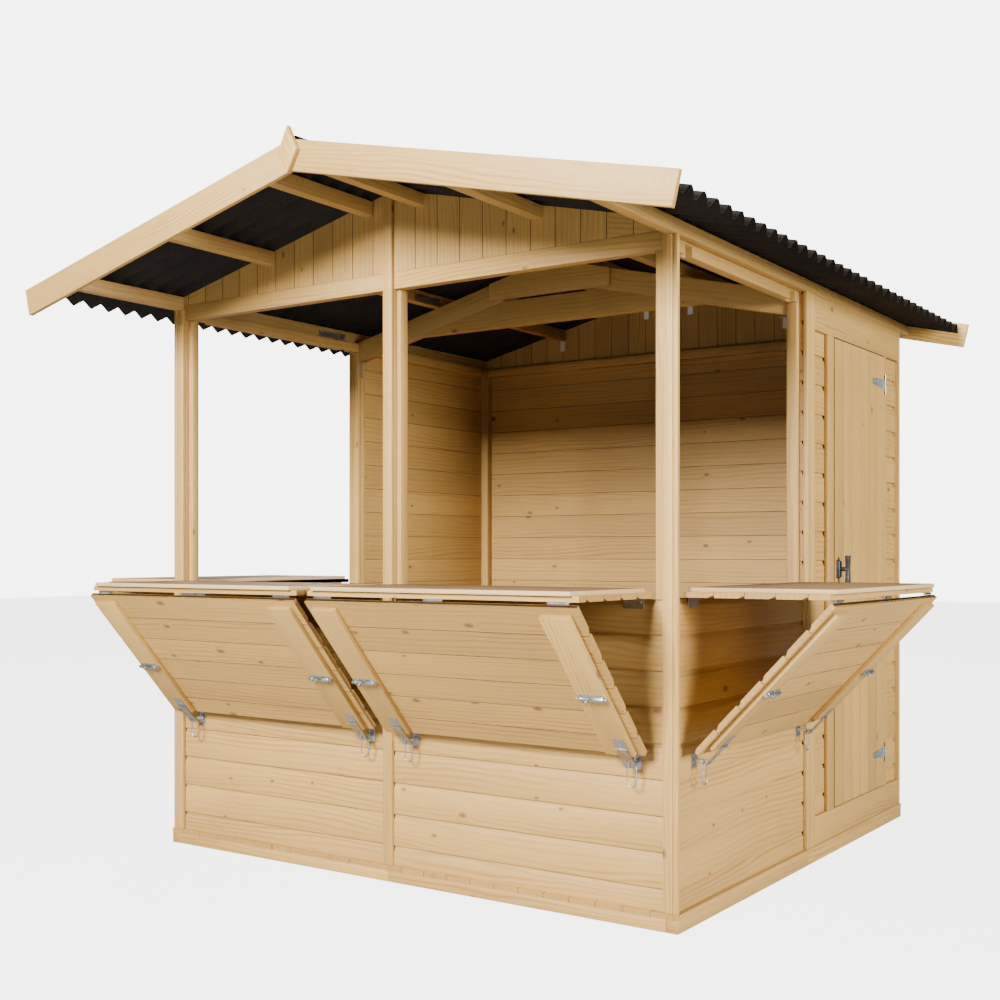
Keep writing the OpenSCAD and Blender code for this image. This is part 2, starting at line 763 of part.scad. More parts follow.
// The flap's frame: -Y runs from the pin to the foot, +Z to the batten side
module flap_frame(b) bay(b)
    translate([0, flap_pin(b)[0], flap_pin(b)[1]])
        rotate([brace(b), 0, 0]) children();

module flap(b) flap_frame(b) {
    w = BAYS[b][2];
    l = BAYS[b][5];
    bar(0, w, -l - joint_gap / 2, -joint_gap / 2, pin_drop,
        pin_drop + board_t);
    for (x = batten_x(b))
        bar(x, x + batten_w, -l - joint_gap / 2 + batten_end(b),
            -top_lip - joint_gap / 2 - batten_in, pin_drop + board_t,
            pin_drop + board_t + batten_t);
}

// Leaves under the counter and the knuckles of the flap hinges
function flap_hinge_x(b) = [flap_hinge_in, BAYS[b][2] / 2 - hinge_l / 2,
                            BAYS[b][2] - flap_hinge_in - hinge_l];

module counter_fittings(b) bay(b) {
    z = counter_z + BAYS[b][3];
    p = flap_pin(b);
    for (x = hinge_x(b))
        bar(x, x + hinge_l, inner_y - 32, hinge_y - leaf_start,
            z - plate_t, z);
    for (x = flap_hinge_x(b)) {
        bar(x, x + hinge_l, p[0] + 1, p[0] + 33, z - plate_t, z);
        translate([x, p[0], p[1]]) rotate([0, 90, 0])
            cylinder(r = pin_r, h = hinge_l, $fn = 24);
    }
}

bolt_s = 388;                        // barrel bolts, from the pin
bolt_l = 118;
bolt_r = 6;

module flap_fittings(b) flap_frame(b) {
    l = BAYS[b][5];
    // flap hinge leaves on the inner face
    for (x = flap_hinge_x(b))
        bar(x, x + hinge_l, -33, -leaf_start, pin_drop - plate_t, pin_drop);
    // barrel bolts across the battens
    for (x = batten_x(b)) translate([x + batten_w / 2, -bolt_s, batten_face]) {
        bar(12 - bolt_l / 2, bolt_l / 2 - 12, -15, 15, 0, plate_t);
        translate([-bolt_l / 2, 0, bolt_r]) rotate([0, 90, 0])
            cylinder(r = bolt_r, h = bolt_l, $fn = 24);
    }
    // hasp leaves with the middle knuckle
    for (x = hasp_x(b)) translate([x, hasp_pin_up - l, batten_face]) {
        bar(-hasp_w / 2, hasp_w / 2, pin_r + seam, 48, 0, plate_t);
        bar(-hasp_w / 6 + seam, hasp_w / 6 - seam, 0, pin_r + seam,
            0, plate_t);
        translate([-hasp_w / 6 + seam, 0, pin_r]) rotate([0, 90, 0])
            cylinder(r = pin_r, h = hasp_w / 3 - 2 * seam, $fn = 24);
    }
}

// Hasp straps along the flap, up to its foot
module hasps(b) flap_frame(b) {
    l = BAYS[b][5];
    for (x = hasp_x(b)) translate([x, hasp_pin_up - l, batten_face + pin_r]) {
        bar(-hasp_w / 2, hasp_w / 2, -hasp_pin_up - hasp_cut, -pin_r - seam,
            -plate_t, 0);
        for (k = [-hasp_w / 2, hasp_w / 6]) {
            bar(k, k + hasp_w / 3, -pin_r - seam, 0, -plate_t, 0);
            translate([k, 0, 0]) rotate([0, 90, 0])
                cylinder(r = pin_r, h = hasp_w / 3, $fn = 24);
        }
    }
}

module counter_front_left() color(pine) place() counter(0);
module counter_front_right() color(pine) place() counter(1);
module counter_right() color(pine) place() counter(2);
module counter_left() color(pine) place() counter(3);

module flap_front_left() color(pine) place() flap(0);
module flap_front_right() color(pine) place() flap(1);
module flap_right() color(pine) place() flap(2);
module flap_left() color(pine) place() flap(3);

module counter_fittings_front_left() color(zinc) place() counter_fittings(0);
module counter_fittings_front_right() color(zinc) place() counter_fittings(1);
module counter_fittings_right() color(zinc) place() counter_fittings(2);
module counter_fittings_left() color(zinc) place() counter_fittings(3);

module flap_fittings_front_left() color(zinc) place() flap_fittings(0);
module flap_fittings_front_right() color(zinc) place() flap_fittings(1);
module flap_fittings_right() color(zinc) place() flap_fittings(2);
module flap_fittings_left() color(zinc) place() flap_fittings(3);

module hasps_front_left() color(zinc) place() hasps(0);
module hasps_front_right() color(zinc) place() hasps(1);
module hasps_right() color(zinc) place() hasps(2);
module hasps_left() color(zinc) place() hasps(3);

base_bearers();
floor_decks();
low_walls();
left_rear_wall();
back_walls();
right_rear_wall();
door_frame();
front_gable();
back_gable();
cover_strips();
corner_posts();
wall_frames();
top_beams();
purlins();
truss();
roof_sheet_left();
roof_sheet_right();
ridge_cap();
bargeboards();
finials();
roof_connectors();
wall_fittings();
hasp_staples();
door_leaf();
door_hinges();
door_handle();
counter_front_left();
counter_front_right();
counter_right();
counter_left();
flap_front_left();
flap_front_right();
flap_right();
flap_left();
counter_fittings_front_left();
counter_fittings_front_right();
counter_fittings_right();
counter_fittings_left();
flap_fittings_front_left();
flap_fittings_front_right();
flap_fittings_right();
flap_fittings_left();
hasps_front_left();
hasps_front_right();
hasps_right();
hasps_left();
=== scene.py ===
import json
import math
import random

import bmesh
import bpy
from bpy.props import (FloatProperty, FloatVectorProperty, IntProperty,
                       PointerProperty)
from mathutils import Matrix, Vector


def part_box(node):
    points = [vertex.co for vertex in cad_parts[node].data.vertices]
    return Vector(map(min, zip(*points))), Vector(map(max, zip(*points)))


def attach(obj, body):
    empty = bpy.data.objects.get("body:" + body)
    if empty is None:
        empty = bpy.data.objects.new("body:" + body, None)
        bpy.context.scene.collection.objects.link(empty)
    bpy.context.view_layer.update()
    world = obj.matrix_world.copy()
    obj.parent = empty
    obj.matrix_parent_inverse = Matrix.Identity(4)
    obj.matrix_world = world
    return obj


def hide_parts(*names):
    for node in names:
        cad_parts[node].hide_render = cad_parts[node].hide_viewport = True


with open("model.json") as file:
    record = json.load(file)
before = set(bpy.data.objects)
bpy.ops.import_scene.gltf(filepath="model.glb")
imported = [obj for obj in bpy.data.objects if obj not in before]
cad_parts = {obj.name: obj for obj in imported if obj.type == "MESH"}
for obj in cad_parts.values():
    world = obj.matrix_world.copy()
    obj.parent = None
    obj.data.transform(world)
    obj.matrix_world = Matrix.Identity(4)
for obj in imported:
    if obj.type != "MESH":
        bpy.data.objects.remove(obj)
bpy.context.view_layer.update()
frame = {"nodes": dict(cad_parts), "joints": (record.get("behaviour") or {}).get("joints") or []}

bl_info = {
    "name": "Wooden market stall",
    "version": (1, 0, 0),
    "blender": (4, 5, 0),
    "location": "View3D > Sidebar > Stall",
    "description": "Boards, counters, roof and ironwork of a timber stall",
    "category": "Add Mesh",
}

BAYS = ("front_left", "front_right", "right", "left")
TURN = {"front_left": 0, "front_right": 0, "right": 90, "left": -90}
JOINTS = {j["name"]: j for j in frame["joints"]}

X, Y, Z = Vector((1, 0, 0)), Vector((0, 1, 0)), Vector((0, 0, 1))

SEAM = Vector((-0.008, -0.017, 0))   # where the prefabricated panels meet
PANEL_GAP = 0.0005                   # from a panel's edge to its seam
LIFT = 0.005                         # from a hinge pin's axis to the boards
PIN_GAP = 0.001                      # from the same axis along the boards
SAME = 1e-5                          # coordinates closer than this are one
GROUPS = {}                          # shader node groups
FINISH = {}                          # materials


# ---- Working in object and edit mode ---------------------------------------

def only(piece):
    """Selects one object and makes it the active one."""
    bpy.ops.object.select_all(action="DESELECT")
    piece.select_set(True)
    bpy.context.view_layer.objects.active = piece


def settle():
    """Puts the selected object's place, turn and scale in its mesh."""
    bpy.ops.object.transform_apply(location=True, rotation=True, scale=True)


def smooth(angle):
    bpy.ops.object.shade_smooth_by_angle(angle=math.radians(angle))


def slab(name, low, high):
    """A block between two corners, as the start of a board or plate."""
    low, high = Vector(low), Vector(high)
    bpy.ops.mesh.primitive_cube_add(size=1, location=(low + high) / 2)
    piece = bpy.context.object
    piece.name = piece.data.name = name
    piece.scale = high - low
    settle()
    return piece


def edit(piece, kind="VERT"):
    only(piece)
    bpy.ops.object.mode_set(mode="EDIT")
    bpy.ops.mesh.select_mode(type=kind)


def done():
    bpy.ops.object.mode_set(mode="OBJECT")


def pick(piece, kind, test):
    """Selects the vertices, edges or faces that pass a test."""
    bpy.ops.mesh.select_mode(type=kind)
    bpy.ops.mesh.select_all(action="DESELECT")
    shape = bmesh.from_edit_mesh(piece.data)
    found = {"VERT": shape.verts, "EDGE": shape.edges, "FACE": shape.faces}[kind]
    for part in [p for p in found if test(p)]:
        part.select_set(True)
    bmesh.update_edit_mesh(piece.data)


def cut(point, normal, keep=None):
    """Cuts all of the shape; keep is 'below' or 'above' the plane."""
    bpy.ops.mesh.select_all(action="SELECT")
    bpy.ops.mesh.bisect(plane_co=point, plane_no=normal,
                        use_fill=keep is not None,
                        clear_outer=keep == "below",
                        clear_inner=keep == "above")


def mark(piece, test):
    """Marks the faces inside an open joint for painted shade: the wood finish paints them near
    black, as the shadow deep in the slot.
    """
    shape = bmesh.from_edit_mesh(piece.data)
    gap = (shape.faces.layers.float.get("gap")
           or shape.faces.layers.float.new("gap"))
    for face in shape.faces:
        if test(face.calc_center_median(), face.normal):
            face[gap] = 1.0
    bmesh.update_edit_mesh(piece.data)


def repeat(piece, count, step):
    """Copies the piece in a row, as one mesh."""
    only(piece)
    row = piece.modifiers.new("row", "ARRAY")
    row.count = count
    row.use_relative_offset = False
    row.use_constant_offset = True
    row.constant_offset_displace = step
    bpy.ops.object.modifier_apply(modifier="row")


def place(piece, matrix):
    """Puts the piece at its place, with the place in its mesh."""
    only(piece)
    piece.matrix_world = matrix
    settle()


def join(name, parts):
    """One mesh from several."""
    bpy.ops.object.select_all(action="DESELECT")
    for part in parts:
        part.select_set(True)
    bpy.context.view_layer.objects.active = parts[0]
    if len(parts) > 1:
        bpy.ops.object.join()
    parts[0].name = parts[0].data.name = name
    return parts[0]


def soften(piece, width, segments=2, angle=50):
    """Rounds the sharp edges and shades the piece by angle."""
    only(piece)
    worn = piece.modifiers.new("edges", "BEVEL")
    worn.width = width
    worn.segments = segments
    worn.limit_method = "ANGLE"
    worn.angle_limit = math.radians(angle)
    bpy.ops.object.modifier_apply(modifier="edges")
    smooth(35)


def copy_of(node, name):
    """A merged copy of a node of the fixed frame, ready to be finished."""
    source = frame["nodes"][node]
    piece = bpy.data.objects.new(name, source.data.copy())
    bpy.context.scene.collection.objects.link(piece)
    piece.data.materials.clear()
    edit(piece)
    bpy.ops.mesh.select_all(action="SELECT")
    bpy.ops.mesh.remove_doubles(threshold=0.00001)
    bpy.ops.mesh.dissolve_limited(angle_limit=math.radians(1))
    done()
    return piece


def groups(items, near):
    """Splits vertices or faces into sets that hang together."""
    seen = set()
    for start in items:
        if start in seen:
            continue
        seen.add(start)
        found, queue = [], [start]
        while queue:
            item = queue.pop()
            found.append(item)
            for other in near(item):
                if other not in seen:
                    seen.add(other)
                    queue.append(other)
        yield found


def loose_boxes(piece, matrix):
    """Corners of each loose part of a piece, on the axes of a matrix."""
    shape = bmesh.new()
    shape.from_mesh(piece.data)
    inverse = matrix.inverted()
    boxes = []
    for part in groups(shape.verts, lambda vert: (
            edge.other_vert(vert) for edge in vert.link_edges)):
        points = [inverse @ v.co for v in part]
        boxes.append((Vector(map(min, zip(*points))),
                      Vector(map(max, zip(*points)))))
    shape.free()
    return boxes


def rod(name, start, end, radius, sides):
    """A round bar between two points."""
    start, end = Vector(start), Vector(end)
    bpy.ops.mesh.primitive_cylinder_add(
        vertices=sides, radius=radius, depth=(end - start).length,
        location=(start + end) / 2,
        rotation=(end - start).to_track_quat("Z", "Y").to_euler())
    piece = bpy.context.object
    piece.name = piece.data.name = name
    settle()
    return piece


def screw_spots(piece, normals):
    """Places for screws on the flat faces that look in given directions."""
    spots = []
    smallest = 0.0005   # square metres
    pattern = ((-0.36, -0.2), (0.0, 0.2), (0.36, -0.2))   # shares of a face
    for face in piece.data.polygons:
        n = face.normal
        if face.area < smallest or max(n.dot(d) for d in normals) < 0.99:
            continue
        points = [piece.data.vertices[i].co for i in face.vertices]
        sides = [b - a for a, b in zip(points, points[1:] + points[:1])]
        along = max(sides, key=lambda side: side.length).normalized()
        across = n.cross(along)
        u = [p.dot(along) for p in points]
        v = [p.dot(across) for p in points]
        middle = (along * (min(u) + max(u)) + across * (min(v) + max(v))) / 2 \
            + n * points[0].dot(n)
        for a, b in pattern:
            spots.append((middle + along * (max(u) - min(u)) * a
                          + across * (max(v) - min(v)) * b, n.copy()))
    return spots


def heads(name, spots, radius=0.0036, rise=0.36):
    """Domed screw heads at the given places, as one mesh."""
    parts = []
    for spot, normal in spots:
        bpy.ops.mesh.primitive_uv_sphere_add(
            segments=10, ring_count=6, radius=radius, location=spot,
            rotation=normal.to_track_quat("Z", "Y").to_euler(),
            scale=(1, 1, rise))
        parts.append(bpy.context.object)
    piece = join(name, parts)
    only(piece)
    settle()
    bpy.ops.object.shade_smooth()
    return piece


def finish_piece(piece, finish, body, slot, nodes=()):
    """Gives a piece its material and body, and hides the nodes it replaces; the slot is not
    used.
    """
    piece.data.materials.clear()
    piece.data.materials.append(FINISH[finish])
    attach(piece, body)
    if nodes:
        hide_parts(*nodes)


def lay_grain(piece):
    """A UV map along each board, in metres, and a mark on the cut ends."""
    shape = bmesh.new()
    shape.from_mesh(piece.data)
    uv = shape.loops.layers.uv.verify()
    ends = shape.faces.layers.float.new("end_grain")
    chance = random.Random(piece.name)
    end_on = 0.8   # a face that looks along its board is a cut end
    for board in groups(shape.faces, lambda face: (
            other for edge in face.edges for other in edge.link_faces)):
        longest = max((e for f in board for e in f.edges),
                      key=lambda e: e.calc_length())
        along = (longest.verts[1].co - longest.verts[0].co).normalized()
        side = along.cross(Z if abs(along.z) < 0.7 else X).normalized()
        across = along.cross(side).normalized()
        shift_u = chance.uniform(0, 40)
        shift_v = chance.uniform(0, 40)
        for face in board:
            n = face.normal
            a, s, c = abs(n.dot(along)), abs(n.dot(side)), abs(n.dot(across))
            for loop in face.loops:
                p = loop.vert.co
                u, v, w = p.dot(along), p.dot(side), p.dot(across)
                if a > end_on:
                    loop[uv].uv = (v * 0.3 + shift_u, w + shift_v)
                elif c >= s:
                    loop[uv].uv = (u + shift_u, v + shift_v)
                else:
                    loop[uv].uv = (u + shift_u, w + shift_v + 0.35)
            face[ends] = 1.0 if a > end_on else 0.0
    shape.to_mesh(piece.data)
    shape.free()


# ---- Materials --------------------------------------------------------------

def socket(tree, name, kind, way, value=None):
    made = tree.interface.new_socket(name, in_out=way, socket_type=kind)
    if value is not None:
        made.default_value = value


def node(tree, kind, **settings):
    made = tree.nodes.new("ShaderNode" + kind)
    for key, value in settings.items():
        if key.startswith("in_"):
            made.inputs[key[3:].replace("_", " ")].default_value = value
        else:
            setattr(made, key, value)
    return made


def math_node(tree, operation, a, b=None, c=None):
    made = tree.nodes.new("ShaderNodeMath")
    made.operation = operation
    for i, value in enumerate((a, b, c)):
        if value is None:
            continue
        if isinstance(value, (int, float)):
            made.inputs[i].default_value = value
        else:
            tree.links.new(value, made.inputs[i])
    return made.outputs[0]


def mix_colour(tree, amount, a, b, blend="MIX"):
    made = tree.nodes.new("ShaderNodeMix")
    made.data_type = "RGBA"
    made.blend_type = blend
    for i, value in ((0, amount), (6, a), (7, b)):
        if isinstance(value, bpy.types.NodeSocket):
            tree.links.new(value, made.inputs[i])
        else:
            made.inputs[i].default_value = value
    return made.outputs[2]


def span(tree, value, a, b, c=0.0, d=1.0):
    """Maps a value from a..b to c..d, clamped."""
    made = tree.nodes.new("ShaderNodeMapRange")
    tree.links.new(value, made.inputs[0])
    for i, number in enumerate((a, b, c, d), 1):
        made.inputs[i].default_value = number
    return made.outputs[0]


def stretched(tree, vector, scale):
    made = tree.nodes.new("ShaderNodeVectorMath")
    made.operation = "MULTIPLY"
    tree.links.new(vector, made.inputs[0])
    made.inputs[1].default_value = scale
    return made.outputs[0]


def noise(tree, vector, detail=2.0, rough=0.5):
    made = node(tree, "TexNoise", in_Scale=1.0, in_Detail=detail,
                in_Roughness=rough)
    tree.links.new(vector, made.inputs["Vector"])
    return made.outputs[0]


def wood_figure():
    """Growth lines, fine fibres and knots along a board's own map."""
    tree = bpy.data.node_groups.new("Wood figure", "ShaderNodeTree")
    socket(tree, "Along", "NodeSocketVector", "INPUT")
    socket(tree, "Lines", "NodeSocketFloat", "INPUT", 38.0)
    socket(tree, "Knots", "NodeSocketFloat", "INPUT", 0.66)
    for name in ("Late wood", "Fibre", "Knot", "Tone", "Height"):
        socket(tree, name, "NodeSocketFloat", "OUTPUT")
    enter = tree.nodes.new("NodeGroupInput")
    leave = tree.nodes.new("NodeGroupOutput")
    along = enter.outputs["Along"]
    # knots: some of the cells of a Voronoi pattern
    cells = node(tree, "TexVoronoi", voronoi_dimensions="2D", in_Scale=1.0)
    tree.links.new(stretched(tree, along, (4.2, 7.5, 0)), cells.inputs["Vector"])
    parts = tree.nodes.new("ShaderNodeSeparateColor")
    tree.links.new(cells.outputs["Color"], parts.inputs[0])
    chosen = math_node(tree, "GREATER_THAN", parts.outputs[0],
                       enter.outputs["Knots"])
    size = span(tree, parts.outputs[1], 0, 1, 0.03, 0.09)
    ratio = math_node(tree, "DIVIDE", cells.outputs["Distance"], size)
    core = math_node(tree, "MULTIPLY", span(tree, ratio, 1.4, 0.5), chosen)
    ring = math_node(tree, "MULTIPLY", span(tree, ratio, 2.6, 0.9), chosen)
    # the growth lines run along the board and swell round a knot
    warp = noise(tree, stretched(tree, along, (1.1, 5.0, 1)))
    split = tree.nodes.new("ShaderNodeSeparateXYZ")
    tree.links.new(along, split.inputs[0])
    place_v = math_node(tree, "MULTIPLY_ADD", warp, 0.11, split.outputs[1])
    place_v = math_node(tree, "MULTIPLY_ADD", ring, 0.035, place_v)
    wave = math_node(tree, "SINE", math_node(
        tree, "MULTIPLY", math_node(tree, "MULTIPLY", place_v,
                                    enter.outputs["Lines"]), 6.2832))
    late = span(tree, wave, -0.2, 1.0)
    fade = span(tree, noise(tree, stretched(tree, along, (0.9, 14, 1))),
                0.38, 0.68, 0.12, 1.0)
    late = math_node(tree, "MULTIPLY", late, fade)
    fibre = noise(tree, stretched(tree, along, (7, 330, 1)), 3.0, 0.6)
    tone = noise(tree, stretched(tree, along, (0.35, 2.2, 1)), 1.0)
    height = math_node(tree, "MULTIPLY_ADD", fibre, 0.5, late)
    height = math_node(tree, "SUBTRACT", height, core)
    for name, value in (("Late wood", late), ("Fibre", fibre), ("Knot", core),
                        ("Tone", tone), ("Height", height)):
        tree.links.new(value, leave.inputs[name])
    return tree


def dust_and_wear():
    """Soft uneven dirt in object space, for roughness and shade."""
    tree = bpy.data.node_groups.new("Dust and wear", "ShaderNodeTree")
    socket(tree, "Scale", "NodeSocketFloat", "INPUT", 3.0)
    socket(tree, "Patch", "NodeSocketFloat", "OUTPUT")
    socket(tree, "Speck", "NodeSocketFloat", "OUTPUT")
    enter = tree.nodes.new("NodeGroupInput")
    leave = tree.nodes.new("NodeGroupOutput")
    where = tree.nodes.new("ShaderNodeTexCoord")
    for name, times, detail in (("Patch", 1.0, 4.0), ("Speck", 28.0, 2.0)):
        made = tree.nodes.new("ShaderNodeTexNoise")
        made.inputs["Detail"].default_value = detail
        tree.links.new(where.outputs["Object"], made.inputs["Vector"])
        scale = math_node(tree, "MULTIPLY", enter.outputs["Scale"], times)
        tree.links.new(scale, made.inputs["Scale"])
        tree.links.new(made.outputs[0], leave.inputs[name])
    return tree


def new_material(name):
    made = bpy.data.materials.new(name)
    made.use_nodes = True
    return made, made.node_tree, made.node_tree.nodes["Principled BSDF"]


def use_group(tree, group, **values):
    made = tree.nodes.new("ShaderNodeGroup")
    made.node_tree = group
    for key, value in values.items():
        made.inputs[key.replace("_", " ")].default_value = value
    return made


def wire(tree, shader, colour, rough, height, strength, distance):
    """Links colour, roughness and relief to a material's shader."""
    relief = node(tree, "Bump", in_Strength=strength, in_Distance=distance)
    tree.links.new(colour, shader.inputs["Base Color"])
    tree.links.new(rough, shader.inputs["Roughness"])
    tree.links.new(height, relief.inputs["Height"])
    tree.links.new(relief.outputs[0], shader.inputs["Normal"])


def tint(colour, *shares):
    """A colour with its channels scaled, by one share or by three."""
    shares = shares if len(shares) > 1 else shares * 3
    return (*(c * k for c, k in zip(colour, shares)), 1)


def wood(name, light, dark, knot, lines, knots):
    made, tree, shader = new_material(name)
    figure = use_group(tree, GROUPS["wood"], Lines=lines, Knots=knots)
    board = node(tree, "UVMap")
    tree.links.new(board.outputs[0], figure.inputs["Along"])
    dust = use_group(tree, GROUPS["dust"], Scale=2.5)
    out = figure.outputs
    amount = math_node(tree, "MULTIPLY_ADD", out["Late wood"], 0.5,
                       span(tree, out["Fibre"], 0.35, 0.7, 0.0, 0.34))
    colour = mix_colour(tree, amount, (*light, 1), (*dark, 1))
    tone = span(tree, out["Tone"], 0.3, 0.7, 0.82, 1.1)
    shade = tree.nodes.new("ShaderNodeCombineColor")
    for i, k in enumerate((1.0, 0.985, 0.95)):
        tree.links.new(math_node(tree, "POWER", tone, 1.0 / k),
                       shade.inputs[i])
    colour = mix_colour(tree, 1.0, colour, shade.outputs[0], "MULTIPLY")
    knots_seen = math_node(tree, "MULTIPLY", out["Knot"], 0.85)
    colour = mix_colour(tree, knots_seen, colour, (*knot, 1))
    dirt = span(tree, dust.outputs["Patch"], 0.5, 0.75, 0.0, 0.22)
    colour = mix_colour(tree, dirt, colour, tint(light, 0.62, 0.58, 0.52))
    ends = node(tree, "Attribute", attribute_name="end_grain")
    end_mix = math_node(tree, "MULTIPLY", ends.outputs["Fac"], 0.35)
    colour = mix_colour(tree, end_mix, colour, tint(dark, 0.8, 0.75, 0.7))
    # painted shade: the faces inside open joints are painted near black, as the shadow deep in
    # each slot
    gap = node(tree, "Attribute", attribute_name="gap")
    colour = mix_colour(tree, gap.outputs["Fac"], colour,
                        tint(dark, 0.16, 0.14, 0.12))
    rough = math_node(tree, "MULTIPLY_ADD", out["Late wood"], -0.12,
                      span(tree, dust.outputs["Speck"], 0.3, 0.7, 0.55, 0.67))
    wire(tree, shader, colour, rough, out["Height"], 0.25, 0.0008)
    return made


def bitumen(name, colour):
    made, tree, shader = new_material(name)
    dust = use_group(tree, GROUPS["dust"], Scale=6.0)
    patch = span(tree, dust.outputs["Patch"], 0.35, 0.75)
    mixed = mix_colour(tree, patch, (*colour, 1), tint(colour, 2.0, 1.9, 1.8))
    shader.inputs["Specular IOR Level"].default_value = 0.25
    speck = dust.outputs["Speck"]
    wire(tree, shader, mixed, span(tree, speck, 0.3, 0.7, 0.7, 0.9),
         speck, 0.5, 0.0015)
    return made


def zinc(name, colour):
    made, tree, shader = new_material(name)
    shader.inputs["Metallic"].default_value = 1.0
    where = node(tree, "TexCoord")
    flakes = node(tree, "TexVoronoi", in_Scale=130.0)
    tree.links.new(where.outputs["Object"], flakes.inputs["Vector"])
    parts = node(tree, "SeparateColor")
    tree.links.new(flakes.outputs["Color"], parts.inputs[0])
    dust = use_group(tree, GROUPS["dust"], Scale=20.0)
    mixed = mix_colour(tree, span(tree, parts.outputs[0], 0, 1, 0, 0.35),
                       (*colour, 1), tint(colour, 0.72))
    mixed = mix_colour(tree, span(tree, dust.outputs["Patch"], 0.5, 0.8, 0, 0.3),
                       mixed, (0.35, 0.34, 0.33, 1))
    wire(tree, shader, mixed, span(tree, parts.outputs[1], 0, 1, 0.28, 0.46),
         dust.outputs["Speck"], 0.08, 0.0004)
    return made


def plastic(name, colour):
    made, tree, shader = new_material(name)
    dust = use_group(tree, GROUPS["dust"], Scale=25.0)
    mixed = mix_colour(tree, span(tree, dust.outputs["Patch"], 0.4, 0.8, 0, 0.5),
                       (*colour, 1), tint(colour, 1.9))
    speck = dust.outputs["Speck"]
    wire(tree, shader, mixed, span(tree, speck, 0.3, 0.7, 0.36, 0.5),
         speck, 0.15, 0.0004)
    return made


def smooth_sheet(name, colour):
    made, tree, shader = new_material(name)
    board = node(tree, "UVMap")
    streak = noise(tree, stretched(tree, board.outputs[0], (1.6, 60, 1)),
                   3.0, 0.6)
    dust = use_group(tree, GROUPS["dust"], Scale=3.0)
    mixed = mix_colour(tree, span(tree, streak, 0.3, 0.7),
                       (*colour, 1), tint(colour, 0.78))
    mixed = mix_colour(tree, span(tree, dust.outputs["Patch"], 0.45, 0.8, 0, 0.4),
                       mixed, tint(colour, 1.25))
    wire(tree, shader, mixed,
         span(tree, dust.outputs["Speck"], 0.3, 0.7, 0.5, 0.62),
         streak, 0.06, 0.0004)
    return made


def prepare_finishes(colours):
    GROUPS["wood"] = wood_figure()
    GROUPS["dust"] = dust_and_wear()
    knot = (0.15, 0.055, 0.016)
    pine, dark = tuple(colours.pine), tuple(colours.pine_dark)
    pale = tuple(min(1.0, c * k) for c, k in zip(pine, (1.05, 1.08, 1.14)))
    FINISH["cladding"] = wood("Pine cladding", pine, dark, knot, 44.0, 0.7)
    FINISH["boards"] = wood("Pine tongue boards", pine, dark, knot, 50.0, 0.74)
    FINISH["frame"] = wood("Pine frame timber", pine, dark, knot, 56.0, 0.86)
    FINISH["strips"] = wood("Pale pine strips", pale, dark, knot, 64.0, 0.93)
    FINISH["sheet"] = bitumen("Black corrugated sheet", tuple(colours.roof))
    FINISH["zinc"] = zinc("Galvanised steel", tuple(colours.zinc))
    FINISH["handle"] = plastic("Black handle", (0.012, 0.012, 0.013))
    FINISH["top"] = smooth_sheet("Smooth counter sheet", tuple(colours.top))
    FINISH["top_edge"] = wood("Pale sheet edge", (0.56, 0.39, 0.19),
                              (0.42, 0.26, 0.1), knot, 160.0, 0.99)


# ---- Boards -----------------------------------------------------------------
# A board set is drawn on its own axes: X along the boards, Z from board to
# board, and -Y out of the face that shows when the stall is shut.

JOINT_WIDE, JOINT_DEEP = 0.0024, 0.007   # open joints between boards
STEP = 0.0002                            # between the two cuts of a step


def lap_boards(name, length, total, thick, pitch, first, cove):
    """Courses of profiled boards: a hollow under each course's upper edge."""
    piece = slab(name, (0, 0, first - pitch), (length, thick, first))
    edit(piece)
    # the hollow's outline, as shares of its height and of its full depth
    depths = ((1.0, 0.0), (0.8, 0.18), (0.6, 0.5), (0.35, 0.82), (0.0, 1.0))
    full = 0.36 * cove
    for share, _ in depths[:-1]:
        cut((0, 0, first - cove * share), Z)
    for share, depth in depths[1:]:
        height = first - cove * share
        pick(piece, "VERT", lambda v: abs(v.co.z - height) < SAME
             and v.co.y < thick / 3)
        bpy.ops.transform.translate(value=(0, depth * full, 0))
    pick(piece, "EDGE", lambda e: all(
        v.co.y < SAME and v.co.z < first - pitch + SAME for v in e.verts))
    bpy.ops.mesh.bevel(offset=0.0015, segments=2, affect="EDGES")
    # a narrow open joint on the plain face
    for depth in (thick - JOINT_DEEP, thick - JOINT_DEEP + STEP):
        cut((0, depth, 0), Y)
    pick(piece, "VERT", lambda v: v.co.y > thick - JOINT_DEEP + STEP / 2
         and v.co.z > first - SAME)
    bpy.ops.transform.translate(value=(0, 0, -JOINT_WIDE))
    # the faces inside the joint are flagged for painted shade
    mark(piece, lambda c, n: c.y > thick - JOINT_DEEP
         and (abs(n.z) > 0.9 or c.y < thick - JOINT_DEEP + STEP))
    done()
    repeat(piece, math.ceil((total - first) / pitch) + 1, (0, 0, pitch))
    edit(piece)
    cut((0, 0, 0), Z, "above")
    cut((0, 0, total), Z, "below")
    done()
    only(piece)
    smooth(28)
    lay_grain(piece)
    return piece


